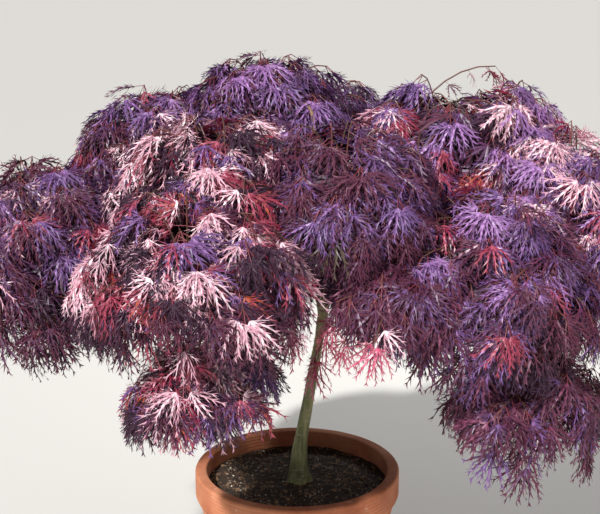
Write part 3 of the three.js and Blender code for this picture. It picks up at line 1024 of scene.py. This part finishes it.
# The middle and half sizes of each hollow, in metres
SKY_HOLLOW = (Vector((0.322, 0.06, 1.192)), Vector((0.08, 0.26, 0.085)))
TRUNK_HOLLOW = (Vector((0.045, -0.33, 0.773)), Vector((0.027, 0.17, 0.047)))
HOLLOWS = (SKY_HOLLOW, TRUNK_HOLLOW)

limb_points = [(point, TRUNK_TOP_RADIUS) for point in trunk_line]
for mass in masses:
    limb_points += [(point, BOUGH_TIP_RADIUS) for point in mass["bough"]]
limb_tree = KDTree(len(limb_points))
for i, (point, radius) in enumerate(limb_points):
    limb_tree.insert(point, i)
limb_tree.balance()


def depth_in(mass, point):
    """0 in the middle of the mass's rounded space, and 1 on its surface."""
    away = point - mass["middle"]
    x = away.dot(mass["outward"]) / mass["size"].x
    y = away.dot(mass["sideways"]) / mass["size"].y
    z = away.z / mass["size"].z
    return x * x + y * y + (z**2 if z > 0 else z**4)


def in_cell(mass, point):
    """True if the point is on the mass's side of the planes that part it from the others."""
    here = (point - mass["middle"]).length_squared - mass["mean"] ** 2
    for other in masses:
        if other is mass:
            continue
        there = (point - other["middle"]).length_squared - other["mean"] ** 2
        if there - here < -2 * MINGLE * (mass["middle"] - other["middle"]).length:
            return False
    return True


def clear_of_limbs(point):
    """True if the point is outside the trunk and the boughs."""
    _, index, distance = limb_tree.find(point)
    return distance > limb_points[index][1] + NEAR_LIMB


def in_hollow(hollow, point):
    """True if the point is in a hollow's rounded space."""
    middle, half = hollow
    return sum((a / b) ** 2 for a, b in zip(point - middle, half)) < 1


def has_room(mass, points):
    """True if all the points are in the mass's space and outside the limbs."""
    return all(
        depth_in(mass, point) <= 1 and in_cell(mass, point) and clear_of_limbs(point)
        for point in points
    )


print(len(limb_points), "points along the limbs")

# %% [markdown]
# ## One lace leaf
#
# The leaf is cut into seven long lobes that spread like the ribs of an umbrella, and each lobe is
# cut again into fine teeth that point forward. A lobe is a narrow grid, one cell wide, bent along
# the arch of its rib, and the outer lobes gather towards the middle one as they hang. A tooth is a
# circle of three corners, drawn out to a sliver. Each lobe is twisted a little about its rib and
# the teeth rise from it, so in the same light one lobe glints while its neighbour stays dark, and
# a lobe that is twisted away takes the darker tint of the teeth, a painted shade. The red of the
# stalk runs on into the palm of the leaf.

# %% Leaf shapes
# Six leaves that differ a little are enough for the tree. Deep inside, where only patches show,
# two plainer leaves without teeth fill the shade for a third of the faces.
LACE_KINDS = 6
PLAIN_KINDS = 2
PETIOLE = 0.34
PETIOLE_RADIUS = 0.014
# Angle in degrees and length of each lobe, the steps of its blade and the teeth on each side
LOBES = [
    (0, 1.0, 2, 4),
    (-23, 0.98, 2, 4),
    (23, 0.98, 2, 4),
    (-48, 0.86, 2, 3),
    (48, 0.86, 2, 3),
    (-76, 0.58, 1, 2),
    (76, 0.58, 1, 2),
]
# A value in the plural is a range, and each lobe, tooth, shoot or leaf draws its own from it
LOBE_TURNS = (-6, 6)
LOBE_LENGTHS = (0.9, 1.08)
LOBE_CURLS = (-0.14, 0.14)
LOBE_GATHER = 0.16
BLADE_WIDTH = 0.041
PLAIN_WIDTH = 0.06
BLADE_FOOT = 0.5
BLADE_SWELL = 1.4
BLADE_POINT = 0.6
BLADE_TWIST = 0.8
TURNED_AWAY_TWIST = 0.12
TOOTH_LENGTH = 0.3
TOOTH_BASE = 0.085
TOOTH_ANGLE = 0.42
TOOTH_FOLD = 0.5
TOOTH_PLACES = (0.5, 0.9)
TOOTHLESS_TIP = 0.6
TOOTH_SIZES = (0.75, 1.2)
TOOTH_WAVE = (0.2, 0.65)
LOBE_SAG = 0.62
LOBE_SAGS = (0.6, 1.3)
LOBE_LIFT = 0.2
RED_PALM = 0.11
PETIOLE_SLOT = 0
BLADE_SLOT = 1
TOOTH_SLOT = 2


def arch_of_rib(turn, reach, curl, sag):
    """The course of a lobe's rib from the palm, as a function of the share of its length."""

    def rib(share):
        bend = turn + curl * share**2
        out = reach * share
        drop = LOBE_LIFT * out - sag * out**2
        return Vector((math.sin(bend) * out, PETIOLE + math.cos(bend) * out, drop))

    return rib


def grow_blade(bm, rib, aside, steps, width, slot):
    """A narrow grid bent along the rib, widest before its middle."""
    grid = bmesh.ops.create_grid(bm, x_segments=1, y_segments=steps, size=0.5)
    for corner in grid["verts"]:
        for face in corner.link_faces:
            face.material_index = slot
        share = corner.co.y + 0.5
        half = width * (1 - share) ** BLADE_POINT * (BLADE_FOOT + BLADE_SWELL * share)
        corner.co = rib(share) + aside * (2 * corner.co.x * half)


def grow_tooth(bm, rib, aside, share, length):
    """A sliver that leaves the rib forwards and to one side."""
    root = rib(share)
    onward = (rib(share + TOOTH_BASE) - root).normalized()
    raised = (aside + UP * TOOTH_FOLD).normalized()
    tip = root + (onward * math.cos(TOOTH_ANGLE) + raised * math.sin(TOOTH_ANGLE)) * length
    corners = bmesh.ops.create_circle(bm, cap_ends=True, segments=3, radius=1)["verts"]
    for corner, place in zip(corners, (root, rib(share + TOOTH_BASE), tip)):
        corner.co = place
    corners[0].link_faces[0].material_index = TOOTH_SLOT


def grow_lobe(bm, lobe, plain, dice):
    """A blade along its rib, with teeth on both sides unless the leaf is a plain one."""
    angle, length, steps, teeth = lobe
    turn = math.radians(angle + dice.uniform(*LOBE_TURNS))
    reach = length * dice.uniform(*LOBE_LENGTHS)
    curl = dice.uniform(*LOBE_CURLS) - LOBE_GATHER * turn
    rib = arch_of_rib(turn, reach, curl, LOBE_SAG * dice.uniform(*LOBE_SAGS))
    twist = dice.uniform(-BLADE_TWIST, BLADE_TWIST)
    level = Vector((math.cos(turn), -math.sin(turn), 0))
    aside = level * math.cos(twist) + UP * math.sin(twist)
    if plain:
        grow_blade(bm, rib, aside, 2, PLAIN_WIDTH, BLADE_SLOT)
        return
    # A lobe twisted away from the light takes the teeth's darker tint: painted shade
    turned_away = twist * turn > TURNED_AWAY_TWIST
    grow_blade(bm, rib, aside, steps, BLADE_WIDTH, TOOTH_SLOT if turned_away else BLADE_SLOT)
    for tooth in range(teeth):
        for side in (-1, 1):
            share = (tooth + dice.uniform(*TOOTH_PLACES)) / (teeth + TOOTHLESS_TIP)
            fullness = math.sin(math.pi * (TOOTH_WAVE[0] + TOOTH_WAVE[1] * share))
            length = TOOTH_LENGTH * fullness * dice.uniform(*TOOTH_SIZES)
            grow_tooth(bm, rib, aside * side, share, length)


def leaf_shape(seed, plain):
    """A leaf with its foot at the origin, its stalk along Y and its face up."""
    dice = random.Random(seed)
    bm = bmesh.new()
    for lobe in LOBES:
        grow_lobe(bm, lobe, plain, dice)
    palm = Vector((0, PETIOLE, 0))
    for face in bm.faces:
        face.normal_update()
        if (face.calc_center_median() - palm).length < RED_PALM:
            face.material_index = PETIOLE_SLOT
        if face.normal.z < 0:
            face.normal_flip()
    lie_down = Matrix.Rotation(math.radians(-90), 4, "X")
    bmesh.ops.create_cone(
        bm,
        cap_ends=False,
        segments=3,
        radius1=PETIOLE_RADIUS,
        radius2=PETIOLE_RADIUS,
        depth=PETIOLE,
        matrix=Matrix.Translation((0, PETIOLE / 2, 0)) @ lie_down,
    )
    return shape_of(bm)


leaf_shapes = [leaf_shape(seed, False) for seed in range(LACE_KINDS)]
leaf_shapes += [leaf_shape(seed, True) for seed in range(PLAIN_KINDS)]
print("faces of a leaf", [len(shape["sides"]) for shape in leaf_shapes])

# %% [markdown]
# ## How a mass grows
#
# The stem goes on from the bough's tip and arches over the middle of the mass. Shoots leave it
# for points that are spread over the top and the sides of the mass, and arch over on their way, so
# that their leaves hang down like the tiers of a weeping maple. The golden angle spreads the shoots
# without rows or clumps, as it does in real plants. Each shoot carries side shoots to its left and
# right. Two masses hang as cascades with a slanting lower edge, and are thin enough to see through.
# Lone shoots with a few small leaves are bent along given knots: red young ones and a pale one hang
# beside the trunk, and two long ones, almost bare, stand over the hollow in the outline.

# %% Shoots
GOLDEN_ANGLE = math.pi * (3 - math.sqrt(5))
STEM_HEADWAY = 0.45
STEM_BEND = (0.35, 0, 0.42)
STEM_END = (0.62, 0, 0.05)
CLEARANCE = 0.3 * MM
STEM_RINGS = 14
STEM_SAMPLES = 40
SHOOT_RINGS = 6
SHOOT_SAMPLES = 12
LONE_SHOOT_SAMPLES = 20
SIDE_SHOOT_RINGS = 4
SHOOTS = 46
CROWDING = {"right_skirt": 0.5, "front_skirt": 0.62, "front_upper": 1.1, "front_middle": 1.1}
# A cascade hangs lower on one side: its bearing, and the edge and slope of what is cut away
SLANTS = {"right_skirt": (0, -0.53, 0.7), "front_skirt": (180, -0.07, 1.67)}
# Lone shoots with a few small leaves: tints, size of the leaves, and the knots of the arch
LONE_SHOOTS = {
    "shoulder_right": [
        ("wisp", 0.62, ((0.215, 0.0, 1.085), (0.29, 0.0, 1.2), (0.385, 0.02, 1.19))),
        ("wisp", 0.62, ((0.215, 0.01, 1.08), (0.35, 0.02, 1.17), (0.435, 0.03, 1.08))),
    ],
    "front_low": [
        ("young", 0.75, ((0.14, -0.245, 0.835), (0.09, -0.38, 0.845), (0.056, -0.39, 0.8))),
        ("young", 0.8, ((0.14, -0.245, 0.835), (0.05, -0.34, 0.81), (0.036, -0.35, 0.718))),
        ("young", 0.75, ((0.15, -0.26, 0.835), (0.095, -0.39, 0.82), (0.082, -0.4, 0.765))),
        ("pale", 0.8, ((0.17, -0.33, 0.83), (0.145, -0.46, 0.85), (0.128, -0.475, 0.79))),
    ],
}
AIM_HEIGHTS = (0.1, 0.9)
AIM_TURNS = (-0.25, 0.25)
AIM_LOWERED = 0.05
HIGHEST = 0.98
LOWEST = -0.58
LOWEST_OF = {"front_low": 0.4}
INNER_EDGE = -0.8
SHOOT_REACH = 0.88
SHOOT_REACH_SPREAD = 0.34
# Where a shoot leaves the stem: over the middle of the mass, further out, and the ends left free
SHOOT_FOOT = 0.48
SHOOT_FOOT_OUT = 0.55
FIRST_FOOT = 0.04
LAST_FOOT = 0.97
SHOOT_ARCH = 0.14
ARCH_PLACE = 0.55
WEEP = 0.3
SHORTENINGS = (1, 0.82, 0.64, 0.45)
SIDE_SHOOT_SPACING = 38 * MM
SIDE_SHOOT_SPACINGS = (0.85, 1.2)
SIDE_SHOOT_FIRST = 42 * MM
SIDE_SHOOT_FIRSTS = (0.7, 1.1)
SIDE_SHOOT_LENGTH = 72 * MM
SIDE_SHOOT_LENGTHS = (0.75, 1.15)
SIDE_SHOOT_SHORTER = 0.4
SIDE_SHOOT_ONWARD = 0.7
SIDE_SHOOT_ASIDE = 0.8
SIDE_SHOOT_DROOP = 0.3


def stem_line(mass):
    """The stem that goes on from a bough's tip over the middle of its mass."""
    heading = heading_on(mass["bough"], 1)
    start = mass["bough"][-1] + heading * CLEARANCE
    knots = [
        start,
        start + heading * STEM_HEADWAY * mass["size"].x,
        inside(mass, *STEM_BEND),
        inside(mass, *STEM_END),
    ]
    return walked(bezier, knots, STEM_SAMPLES, STEM_RINGS)


def arching(start, end, arch, rings):
    """A shoot that leaves its parent, arches over and weeps to its end."""
    level = Vector((end.x - start.x, end.y - start.y)).length
    fall = max(0, start.z - end.z)
    bend = start.lerp(end, ARCH_PLACE + WEEP * fall / (fall + level + MM))
    bend.z = max(start.z, end.z) + arch * level
    return walked(bezier, [start, bend, end], SHOOT_SAMPLES, rings)


def above_slant(mass, x, y, height):
    """True if an aim isn't under the slanting lower edge of a cascade."""
    if mass["name"] not in SLANTS:
        return True
    bearing, edge, slope = SLANTS[mass["name"]]
    low_side = Vector((math.cos(math.radians(bearing)), math.sin(math.radians(bearing)), 0))
    towards = (inside(mass, x, y, 0) - mass["middle"]).dot(low_side) / mass["size"].y
    return towards > edge - slope * height


def shoot_aims(mass, dice):
    """The points that the shoots of a mass grow to, as shares of its half sizes."""
    count = round(SHOOTS * CROWDING.get(mass["name"], 1))
    for k in range(count):
        lowest = LOWEST_OF.get(mass["name"], LOWEST)
        height = HIGHEST + (lowest - HIGHEST) * (k + dice.uniform(*AIM_HEIGHTS)) / count
        widest = math.sqrt(1 - (height**2 if height > 0 else height**4))
        turn = k * GOLDEN_ANGLE + dice.uniform(*AIM_TURNS)
        out = (SHOOT_REACH - SHOOT_REACH_SPREAD * dice.random()) * widest
        x, y = out * math.cos(turn), out * math.sin(turn)
        while in_hollow(SKY_HOLLOW, inside(mass, x, y, height)):
            height -= AIM_LOWERED
        if (height > 0 or x > INNER_EDGE) and above_slant(mass, x, y, height):
            yield x, y, height


def grow_shoot(mass, stem, aim):
    """The longest arching shoot to an aim that stays in the mass's space."""
    for shortening in SHORTENINGS:
        x, y, z = (share * shortening for share in aim)
        start = place_on(stem, min(LAST_FOOT, max(FIRST_FOOT, SHOOT_FOOT + SHOOT_FOOT_OUT * x)))
        line = arching(start, inside(mass, x, y, z), SHOOT_ARCH, SHOOT_RINGS)
        if has_room(mass, line[1:]):
            return line
    return None


def grow_side_shoots(mass, line, dice):
    """Side shoots to the left and right of a shoot in turn."""
    length = (line[1] - line[0]).length * (len(line) - 1)
    gone = SIDE_SHOOT_FIRST * dice.uniform(*SIDE_SHOOT_FIRSTS)
    side = dice.choice((-1, 1))
    grown = []
    while gone < length - SIDE_SHOOT_SPACING / 2:
        start = place_on(line, gone / length)
        heading = heading_on(line, gone / length)
        level = Vector((heading.x, heading.y, 0)).normalized()
        aside = level.cross(UP) * side
        out = (level * SIDE_SHOOT_ONWARD + aside * SIDE_SHOOT_ASIDE).normalized()
        reach = SIDE_SHOOT_LENGTH * dice.uniform(*SIDE_SHOOT_LENGTHS)
        reach *= 1 - SIDE_SHOOT_SHORTER * gone / length
        end = start + out * reach - UP * SIDE_SHOOT_DROOP * reach
        shoot = arching(start, end, SHOOT_ARCH, SIDE_SHOOT_RINGS)
        if has_room(mass, shoot[1:]):
            grown.append(shoot)
        gone += SIDE_SHOOT_SPACING * dice.uniform(*SIDE_SHOOT_SPACINGS)
        side = -side
    return grown


print("the stem of the top mass starts at", [round(v, 3) for v in stem_line(masses[0])[0]])

# %% [markdown]
# ## How leaves hang
#
# Maple leaves stand in opposite pairs, with a single one at the tip of a shoot. Each hangs from
# its stalk with its face up and away from the tree, and leaves at the edge of a mass hang more
# steeply. A leaf that would leave the mass, or touch a limb, is tried again lower, turned or
# smaller, and is left out if that doesn't help.

# %% Leaves
LOBE_LENGTH = 62 * MM
LEAF_SIZES = (0.82, 1.12)
HEADING_KEPT = 0.2
LEAF_ONWARD = 0.7
LEAF_ASIDE = 0.7
LEAF_TURNS = (-0.15, 0.15)
LEAF_DROOPS = (-0.1, 0.35)
FACE_UP = 0.9
FACE_AWAY = 0.5
FACE_OUTWARD = 0.4
LEAF_ROLL = 0.35
LEAF_HANG = 0.8
# Where the tips of a leaf hang from its palm, in lobe lengths: onward, to the side and down
TIP_PROBE = (1, 0, 0.3)
SIDE_PROBES = [(0.45, -0.66, 0.2), (0.45, 0.66, 0.2)]
# Size, turn and droop of each attempt
ATTEMPTS = [(1, 0, 0.5), (1, 0, 1.1), (0.86, 0.35, 0.6), (0.86, -0.35, 0.6), (0.7, 0, 0.8)]
NODE_SHIFTS = (-0.05, 0.05)
STEM_NODES = (0.08, 0.16, 0.24, 0.32, 0.4, 0.48, 0.56, 0.64, 0.72, 0.8, 0.88, 0.95)
SHOOT_NODES = (0.28, 0.45, 0.63, 0.8, 0.94)
SIDE_SHOOT_NODES = (0.45, 0.9)
# Share and side of each leaf of a lone shoot
LONE_NODES = ((0.5, 1), (0.74, -1), (0.9, 1), (0.93, -1), (1, 0))
LONE_DROOP = 0.7
# Sprays aimed above this share of a mass's height are dealt its sunny hand of paler tints, painted
# light, and those below its shaded hand of darker tints, painted shade
SUNNY_ABOVE = -0.2


def leaf_frame(mass, foot, heading, side, attempt, dice):
    """The foot of a leaf and its three directions, each as long as its lobes."""
    size, turn, droop = attempt
    level = Vector((heading.x, heading.y, HEADING_KEPT * heading.z)).normalized()
    aside = level.cross(UP).normalized()
    along = level * LEAF_ONWARD
    along += aside * (side * LEAF_ASIDE + turn + dice.uniform(*LEAF_TURNS))
    droop += dice.uniform(*LEAF_DROOPS) + max(0, -heading.z) * LEAF_HANG
    along = (along - UP * droop).normalized()
    away = foot - mass["middle"]
    away = Vector((away.x, away.y, 0)).normalized()
    face = away * FACE_AWAY + UP * FACE_UP + mass["outward"] * FACE_OUTWARD
    face += aside * dice.uniform(-LEAF_ROLL, LEAF_ROLL)
    face = (face - along * face.dot(along)).normalized()
    length = LOBE_LENGTH * size * dice.uniform(*LEAF_SIZES)
    return foot, along.cross(face) * length, along * length, face * length


def leaf_probes(frame):
    """The palm of a leaf and the tips of its middle and outer lobes."""
    foot, across, along, face = frame
    palm = foot + along * PETIOLE
    tips = [palm + along * y + across * x - face * z for y, x, z in (TIP_PROBE, *SIDE_PROBES)]
    return [palm, *tips]


def hang_leaf(mass, line, share, side, dice):
    """A leaf on one side of a shoot, or None where no attempt has room."""
    foot = place_on(line, share)
    heading = heading_on(line, share)
    for attempt in ATTEMPTS:
        frame = leaf_frame(mass, foot, heading, side, attempt, dice)
        probes = leaf_probes(frame)
        hollowed = any(in_hollow(hollow, point) for hollow in HOLLOWS for point in probes)
        if has_room(mass, probes) and not hollowed:
            return frame
    return None


def dress(mass, line, nodes, dice):
    """Opposite pairs of leaves at the nodes of a shoot, and one at its tip."""
    hung = [hang_leaf(mass, line, 1, 0, dice)]
    for node in nodes:
        share = node + dice.uniform(*NODE_SHIFTS)
        hung += [hang_leaf(mass, line, share, side, dice) for side in (-1, 1)]
    return [frame for frame in hung if frame]


def spray_on(mass, shoot, part, dice):
    """A shoot with its leaves and leafy side shoots, which take their tints from a part's hand."""
    side_shoots = grow_side_shoots(mass, shoot, dice)
    bunches = [dress(mass, shoot, SHOOT_NODES, dice)]
    leafy = []
    for line in side_shoots:
        bunch = dress(mass, line, SIDE_SHOOT_NODES, dice)
        if bunch:
            leafy.append(line)
            bunches.append(bunch)
    return {"shoot": shoot, "side": leafy, "bunches": bunches, "part": part}


def lone_spray(mass, part, size, knots, dice):
    """A shoot that is bare but for a few small leaves towards its end."""
    knots = [Vector(knot) for knot in knots]
    line = walked(bezier, knots, LONE_SHOOT_SAMPLES, SHOOT_RINGS)
    leaves = []
    for share, side in LONE_NODES:
        foot, heading = place_on(line, share), heading_on(line, share)
        leaves.append(leaf_frame(mass, foot, heading, side, (size, 0, LONE_DROOP), dice))
    return {"shoot": line, "side": [], "bunches": [leaves], "part": part}


def grow(mass):
    """The stem of a mass, its sprays of shoots, and the leaves of each spray."""
    dice = random.Random(mass["seed"])
    stem = stem_line(mass)
    aims = [(aim, "sunny" if aim[2] > SUNNY_ABOVE else "shaded") for aim in shoot_aims(mass, dice)]
    sprays = []
    for aim, part in aims:
        shoot = grow_shoot(mass, stem, aim)
        if shoot:
            sprays.append(spray_on(mass, shoot, part, dice))
    sprays += [lone_spray(mass, *shoot, dice) for shoot in LONE_SHOOTS.get(mass["name"], [])]
    on_stem = dress(mass, stem, STEM_NODES, dice)
    sprays.append({"shoot": None, "side": [], "bunches": [on_stem], "part": "sunny"})
    return stem, [spray for spray in sprays if any(spray["bunches"])]


for mass in masses:
    mass["stem"], mass["sprays"] = grow(mass)
leaf_count = sum(len(b) for mass in masses for spray in mass["sprays"] for b in spray["bunches"])
print(leaf_count, "leaves in", sum(len(mass["sprays"]) for mass in masses), "sprays")

# %% [markdown]
# ## Shoots as meshes
#
# A shoot is as thick as a match, so three or four sides are enough, and a stem has seven. One
# straight tube is copied for all the shoots of a kind, and each copy is bent along its own line.

# %% Shoot meshes
# A hair to the side, so that an upright shoot has a swing too
OFF_UPRIGHT = (1e-6, 0, 0)


def tube_kind(sides, rings):
    """A straight tube as a shape, with the ring and angle of each of its corners."""
    shape = shape_of(straight_tube(sides, rings))
    x, y, z = shape["corners"].T
    return shape, np.rint((z + 0.5) * rings).astype(int), np.arctan2(y, x)


def length_one(vectors):
    """Vectors drawn out or in to a length of 1."""
    return vectors / np.maximum(np.linalg.norm(vectors, axis=-1, keepdims=True), TINY)


def bent_copies(kind, lines, thick, thin):
    """Copies of a tube bent along lines of as many points as it has rings."""
    shape, ring, angle = kind
    lines = np.array(lines)
    heading = length_one(np.gradient(lines, axis=1))
    chord = lines[:, -1] - lines[:, 0] + OFF_UPRIGHT
    swing = length_one(np.cross(chord, UP))[:, None]
    across = length_one(swing - heading * (heading * swing).sum(axis=-1, keepdims=True))
    aside = np.cross(heading, across)
    cos, sin = np.cos(angle)[:, None], np.sin(angle)[:, None]
    radius = np.linspace(thick, thin, lines.shape[1])[ring][:, None]
    placed = lines[:, ring] + (across[:, ring] * cos + aside[:, ring] * sin) * radius
    return shape, placed, 0


STEM_TUBE = tube_kind(7, STEM_RINGS)
SHOOT_TUBE = tube_kind(4, SHOOT_RINGS)
SIDE_SHOOT_TUBE = tube_kind(3, SIDE_SHOOT_RINGS)
STEM_RADII = (3.4 * MM, 2.2 * MM)
SHOOT_RADII = (2.1 * MM, 1.1 * MM)
SIDE_SHOOT_RADII = (1.3 * MM, 0.8 * MM)
young_bark, young_surface = finish_called("maple_shoot_bark", "5d3a35", 0.45)
place = add(young_bark, "ShaderNodeTexCoord").outputs["Object"]
sun_side = add(young_bark, "ShaderNodeTexNoise", {"Vector": place, "Scale": per_metre(40)})
reds = add(young_bark, "ShaderNodeValToRGB", {"Fac": sun_side.outputs["Fac"]})
reds.color_ramp.elements[0].position = 0.36
reds.color_ramp.elements[0].color = linear("4c3a2c")
reds.color_ramp.elements[1].position = 0.64
reds.color_ramp.elements[1].color = linear("74413c")
feed(young_bark, young_surface, Base_Color=reds.outputs["Color"])

for mass in masses:
    shoots = [spray["shoot"] for spray in mass["sprays"] if spray["shoot"]]
    side_shoots = [line for spray in mass["sprays"] for line in spray["side"]]
    batches = [
        bent_copies(STEM_TUBE, [mass["stem"]], *STEM_RADII),
        bent_copies(SHOOT_TUBE, shoots, *SHOOT_RADII),
        bent_copies(SIDE_SHOOT_TUBE, side_shoots, *SIDE_SHOOT_RADII),
    ]
    node = "mass_" + mass["name"]
    carried(joined("twigs_" + mass["name"], batches), [node], [young_bark])

# %% [markdown]
# ## Leaf colours
#
# The leaves are glossy on top, so the same plum colour looks wine red in the shade and almost
# white pink in the sun. A tree also mixes its own tints: violet on the shoulders, rose on the sunny
# tiers, crimson young leaves near the trunk, a little copper and bronze. Light and shade are also
# painted into the tints: a near-white pink paints the gleam of the sun on the sunny tiers, the young
# leaves are painted brighter than the shade they hang in, and dark tints paint the shade between and
# inside the masses. Each tint is a plain colour of its own. Each bunch of leaves is dealt one from
# the hand of its part of the crown, paler for sunny sprays and darker for shaded ones, with strays
# among them, and the leaves deep inside get the darkest, as painted shade. The teeth get a darker
# tint than the blade, a painted shade for their turning away from the sun.

# %% Leaf tints
TINTS = {
    # Near-black, for leaves in the shade inside the crown and between the tiers: painted shade
    "dusk": "33162c",
    "wine": "542338",
    "plum": "542d50",
    "violet": "66447a",
    "mauve": "895c95",
    "lilac": "ac7eb6",
    "rose": "a64a60",
    # A near-white pink that paints the sun's gleam on the leaves: a painted highlight
    "shell": "ead2d9",
    "blush": "d09aaa",
    "magenta": "742f50",
    "crimson": "8e2440",
    # The young leaves' red, made brighter than the crown's shade leaves it: partly their own colour,
    # partly painted light
    "cherry": "c8466c",
    "copper": "a8482c",
    "bronze": "42301f",
}
# The darker tint of the teeth of a leaf, where it isn't the blade's own: painted shade for teeth that
# turn away from the sun
SHADED_TEETH = {
    "shell": "blush",
    "rose": "crimson",
    "cherry": "rose",
    "lilac": "mauve",
    "mauve": "violet",
    "violet": "plum",
    "magenta": "wine",
    "crimson": "wine",
    "copper": "crimson",
    "plum": "wine",
}
# The darkest tints, for the leaves deep inside a mass: painted shade
DEEP_SHADE_TINTS = ("dusk", "wine", "dusk", "plum")
# For each part of the crown, the tints of its sunny sprays and of its shaded ones. The sunny hands
# hold paler tints with the near-white pink, painted light, and the shaded hands darker ones, painted
# shade; the dusk dealt among the pale tints of the tiers paints the shade between them.
HANDS = {
    "top": ("violet violet mauve violet mauve lilac violet plum violet", "dusk violet plum dusk"),
    "left": ("plum violet mauve plum rose shell lilac wine violet", "dusk wine plum dusk plum"),
    "tiers": ("shell rose shell dusk mauve shell copper plum dusk", "shell wine dusk rose dusk plum"),
    "middle": ("plum violet mauve wine plum violet mauve", "dusk wine bronze dusk plum"),
    "inner": ("plum magenta wine plum violet", "crimson magenta plum crimson wine"),
    "right": ("mauve lilac rose mauve shell lilac violet shell lilac", "wine plum copper mauve rose"),
    "edge": ("mauve rose violet plum lilac mauve magenta violet", "wine plum mauve dusk magenta"),
    "low": ("plum magenta mauve plum violet wine", "wine mauve plum magenta"),
}
# The young sprays are dealt bright reds, partly painted light for the shade they hang in, and the
# pale spray the near-white pink, a painted highlight
LONE_HANDS = {"young": "cherry rose cherry", "pale": "shell cherry", "wisp": "rose shell plum"}
PARTS = {
    "crown_top": "top",
    "shoulder_back": "top",
    "back_middle": "top",
    "back_left": "left",
    "side_left": "left",
    "shoulder_left": "left",
    "flank_left": "left",
    "front_upper": "tiers",
    "front_left": "tiers",
    "front_skirt": "tiers",
    "front_middle": "middle",
    "front_low": "inner",
    "shoulder_right": "right",
    "side_right": "right",
    "front_right": "edge",
    "back_right": "right",
    "flank_right": "low",
    "right_skirt": "low",
}
# The skin of a leaf: its roughness, its IOR and how much wax lies on it. The blue tints are dulled
# by a bloom, and leaves that always stand in the shade have a thinner skin with hardly any wax.
SUNNY_SKIN = (0.45, 1.55, 0.5)
BLOOMY_SKIN = (0.52, 1.48, 0.22)
SHADY_SKIN = (0.6, 1.38, 0.1)
SKINS = {
    "dusk": SHADY_SKIN,
    "wine": SHADY_SKIN,
    "plum": BLOOMY_SKIN,
    "violet": BLOOMY_SKIN,
    "mauve": BLOOMY_SKIN,
    "lilac": BLOOMY_SKIN,
}
WAX_ROUGHNESS = 0.34


def leaf_finish(name, shade, skin=SUNNY_SKIN):
    """A waxy leaf: one plain colour, with the gloss broken by fine veins 3 mm apart."""
    roughness, ior, wax = skin
    material, surface = finish_called(name, shade, roughness, ior)
    spot = add(material, "ShaderNodeTexCoord").outputs["Object"]
    veins = add(material, "ShaderNodeTexNoise", {"Vector": spot, "Scale": per_metre(3)})
    raised = add(
        material,
        "ShaderNodeBump",
        {"Strength": 0.3, "Distance": 0.0008, "Height": veins.outputs["Fac"]},
    )
    feed(material, surface, Normal=raised.outputs["Normal"])
    surface.inputs["Coat Weight"].default_value = wax
    surface.inputs["Coat Roughness"].default_value = WAX_ROUGHNESS
    return material


tint_finishes = {
    name: leaf_finish("lace_leaf_" + name, shade, SKINS.get(name, SUNNY_SKIN))
    for name, shade in TINTS.items()
}
petiole_finish = leaf_finish("leaf_stalk_red", "7c2836")
print(len(tint_finishes), "tints")

# %% Leaf meshes
DEEP = 0.46
LEAF_MIDDLE = PETIOLE + 0.3
STRAY_LEAVES = 0.4


def is_deep(mass, spray, leaf):
    """True inside a dense mass, where the outer leaves hide a leaf."""
    if mass["name"] in SLANTS or spray["part"] in LONE_HANDS:
        return False
    foot, _, along, _ = leaf
    return depth_in(mass, foot + along * LEAF_MIDDLE) < DEEP


def tint_names(mass, spray, dice):
    """A tint for each leaf of a spray: one for each bunch, with strays among them."""
    sunny, shaded = HANDS[PARTS[mass["name"]]]
    hand = {"sunny": sunny, "shaded": shaded, **LONE_HANDS}[spray["part"]].split()
    names = []
    for bunch in spray["bunches"]:
        own = dice.choice(hand)
        for leaf in bunch:
            # Leaves deep inside a mass are dealt the darkest tints: painted shade
            if is_deep(mass, spray, leaf):
                names.append(dice.choice(DEEP_SHADE_TINTS))
            else:
                names.append(dice.choice(hand) if dice.random() < STRAY_LEAVES else own)
    return names


def leaves_of(mass):
    """The leaves of a mass as one mesh, and the finishes that its slots need."""
    dice = random.Random(mass["seed"])
    names = [tint_names(mass, spray, dice) for spray in mass["sprays"]]
    names = [name for tints in names for name in tints]
    teeth = [SHADED_TEETH.get(name, name) for name in names]
    used = sorted({*names, *teeth})
    hung = [(spray, leaf) for spray in mass["sprays"] for bunch in spray["bunches"] for leaf in bunch]
    frames = np.array([[list(vector) for vector in leaf] for spray, leaf in hung])
    blade_slots = np.array([used.index(name) + 1 for name in names])
    tooth_slots = np.array([used.index(name) + 1 for name in teeth])
    deep = np.array([is_deep(mass, spray, leaf) for spray, leaf in hung])
    kinds = np.array([dice.randrange(LACE_KINDS) for _ in hung])
    kinds[deep] = LACE_KINDS + kinds[deep] % PLAIN_KINDS
    batches = []
    for kind, shape in enumerate(leaf_shapes):
        mine = kinds == kind
        placed = frames[mine, None, 0] + np.einsum("kj,nji->nki", shape["corners"], frames[mine, 1:])
        part = shape["slots"][None]
        slots = np.where(part == BLADE_SLOT, blade_slots[mine, None], PETIOLE_SLOT)
        slots = np.where(part == TOOTH_SLOT, tooth_slots[mine, None], slots)
        batches.append((shape, placed, slots))
    finishes = [petiole_finish] + [tint_finishes[name] for name in used]
    return joined("leaves_" + mass["name"], batches), finishes


for mass in masses:
    leaf_mesh, finishes = leaves_of(mass)
    carried(leaf_mesh, ["mass_" + mass["name"]], finishes, smooth=False)
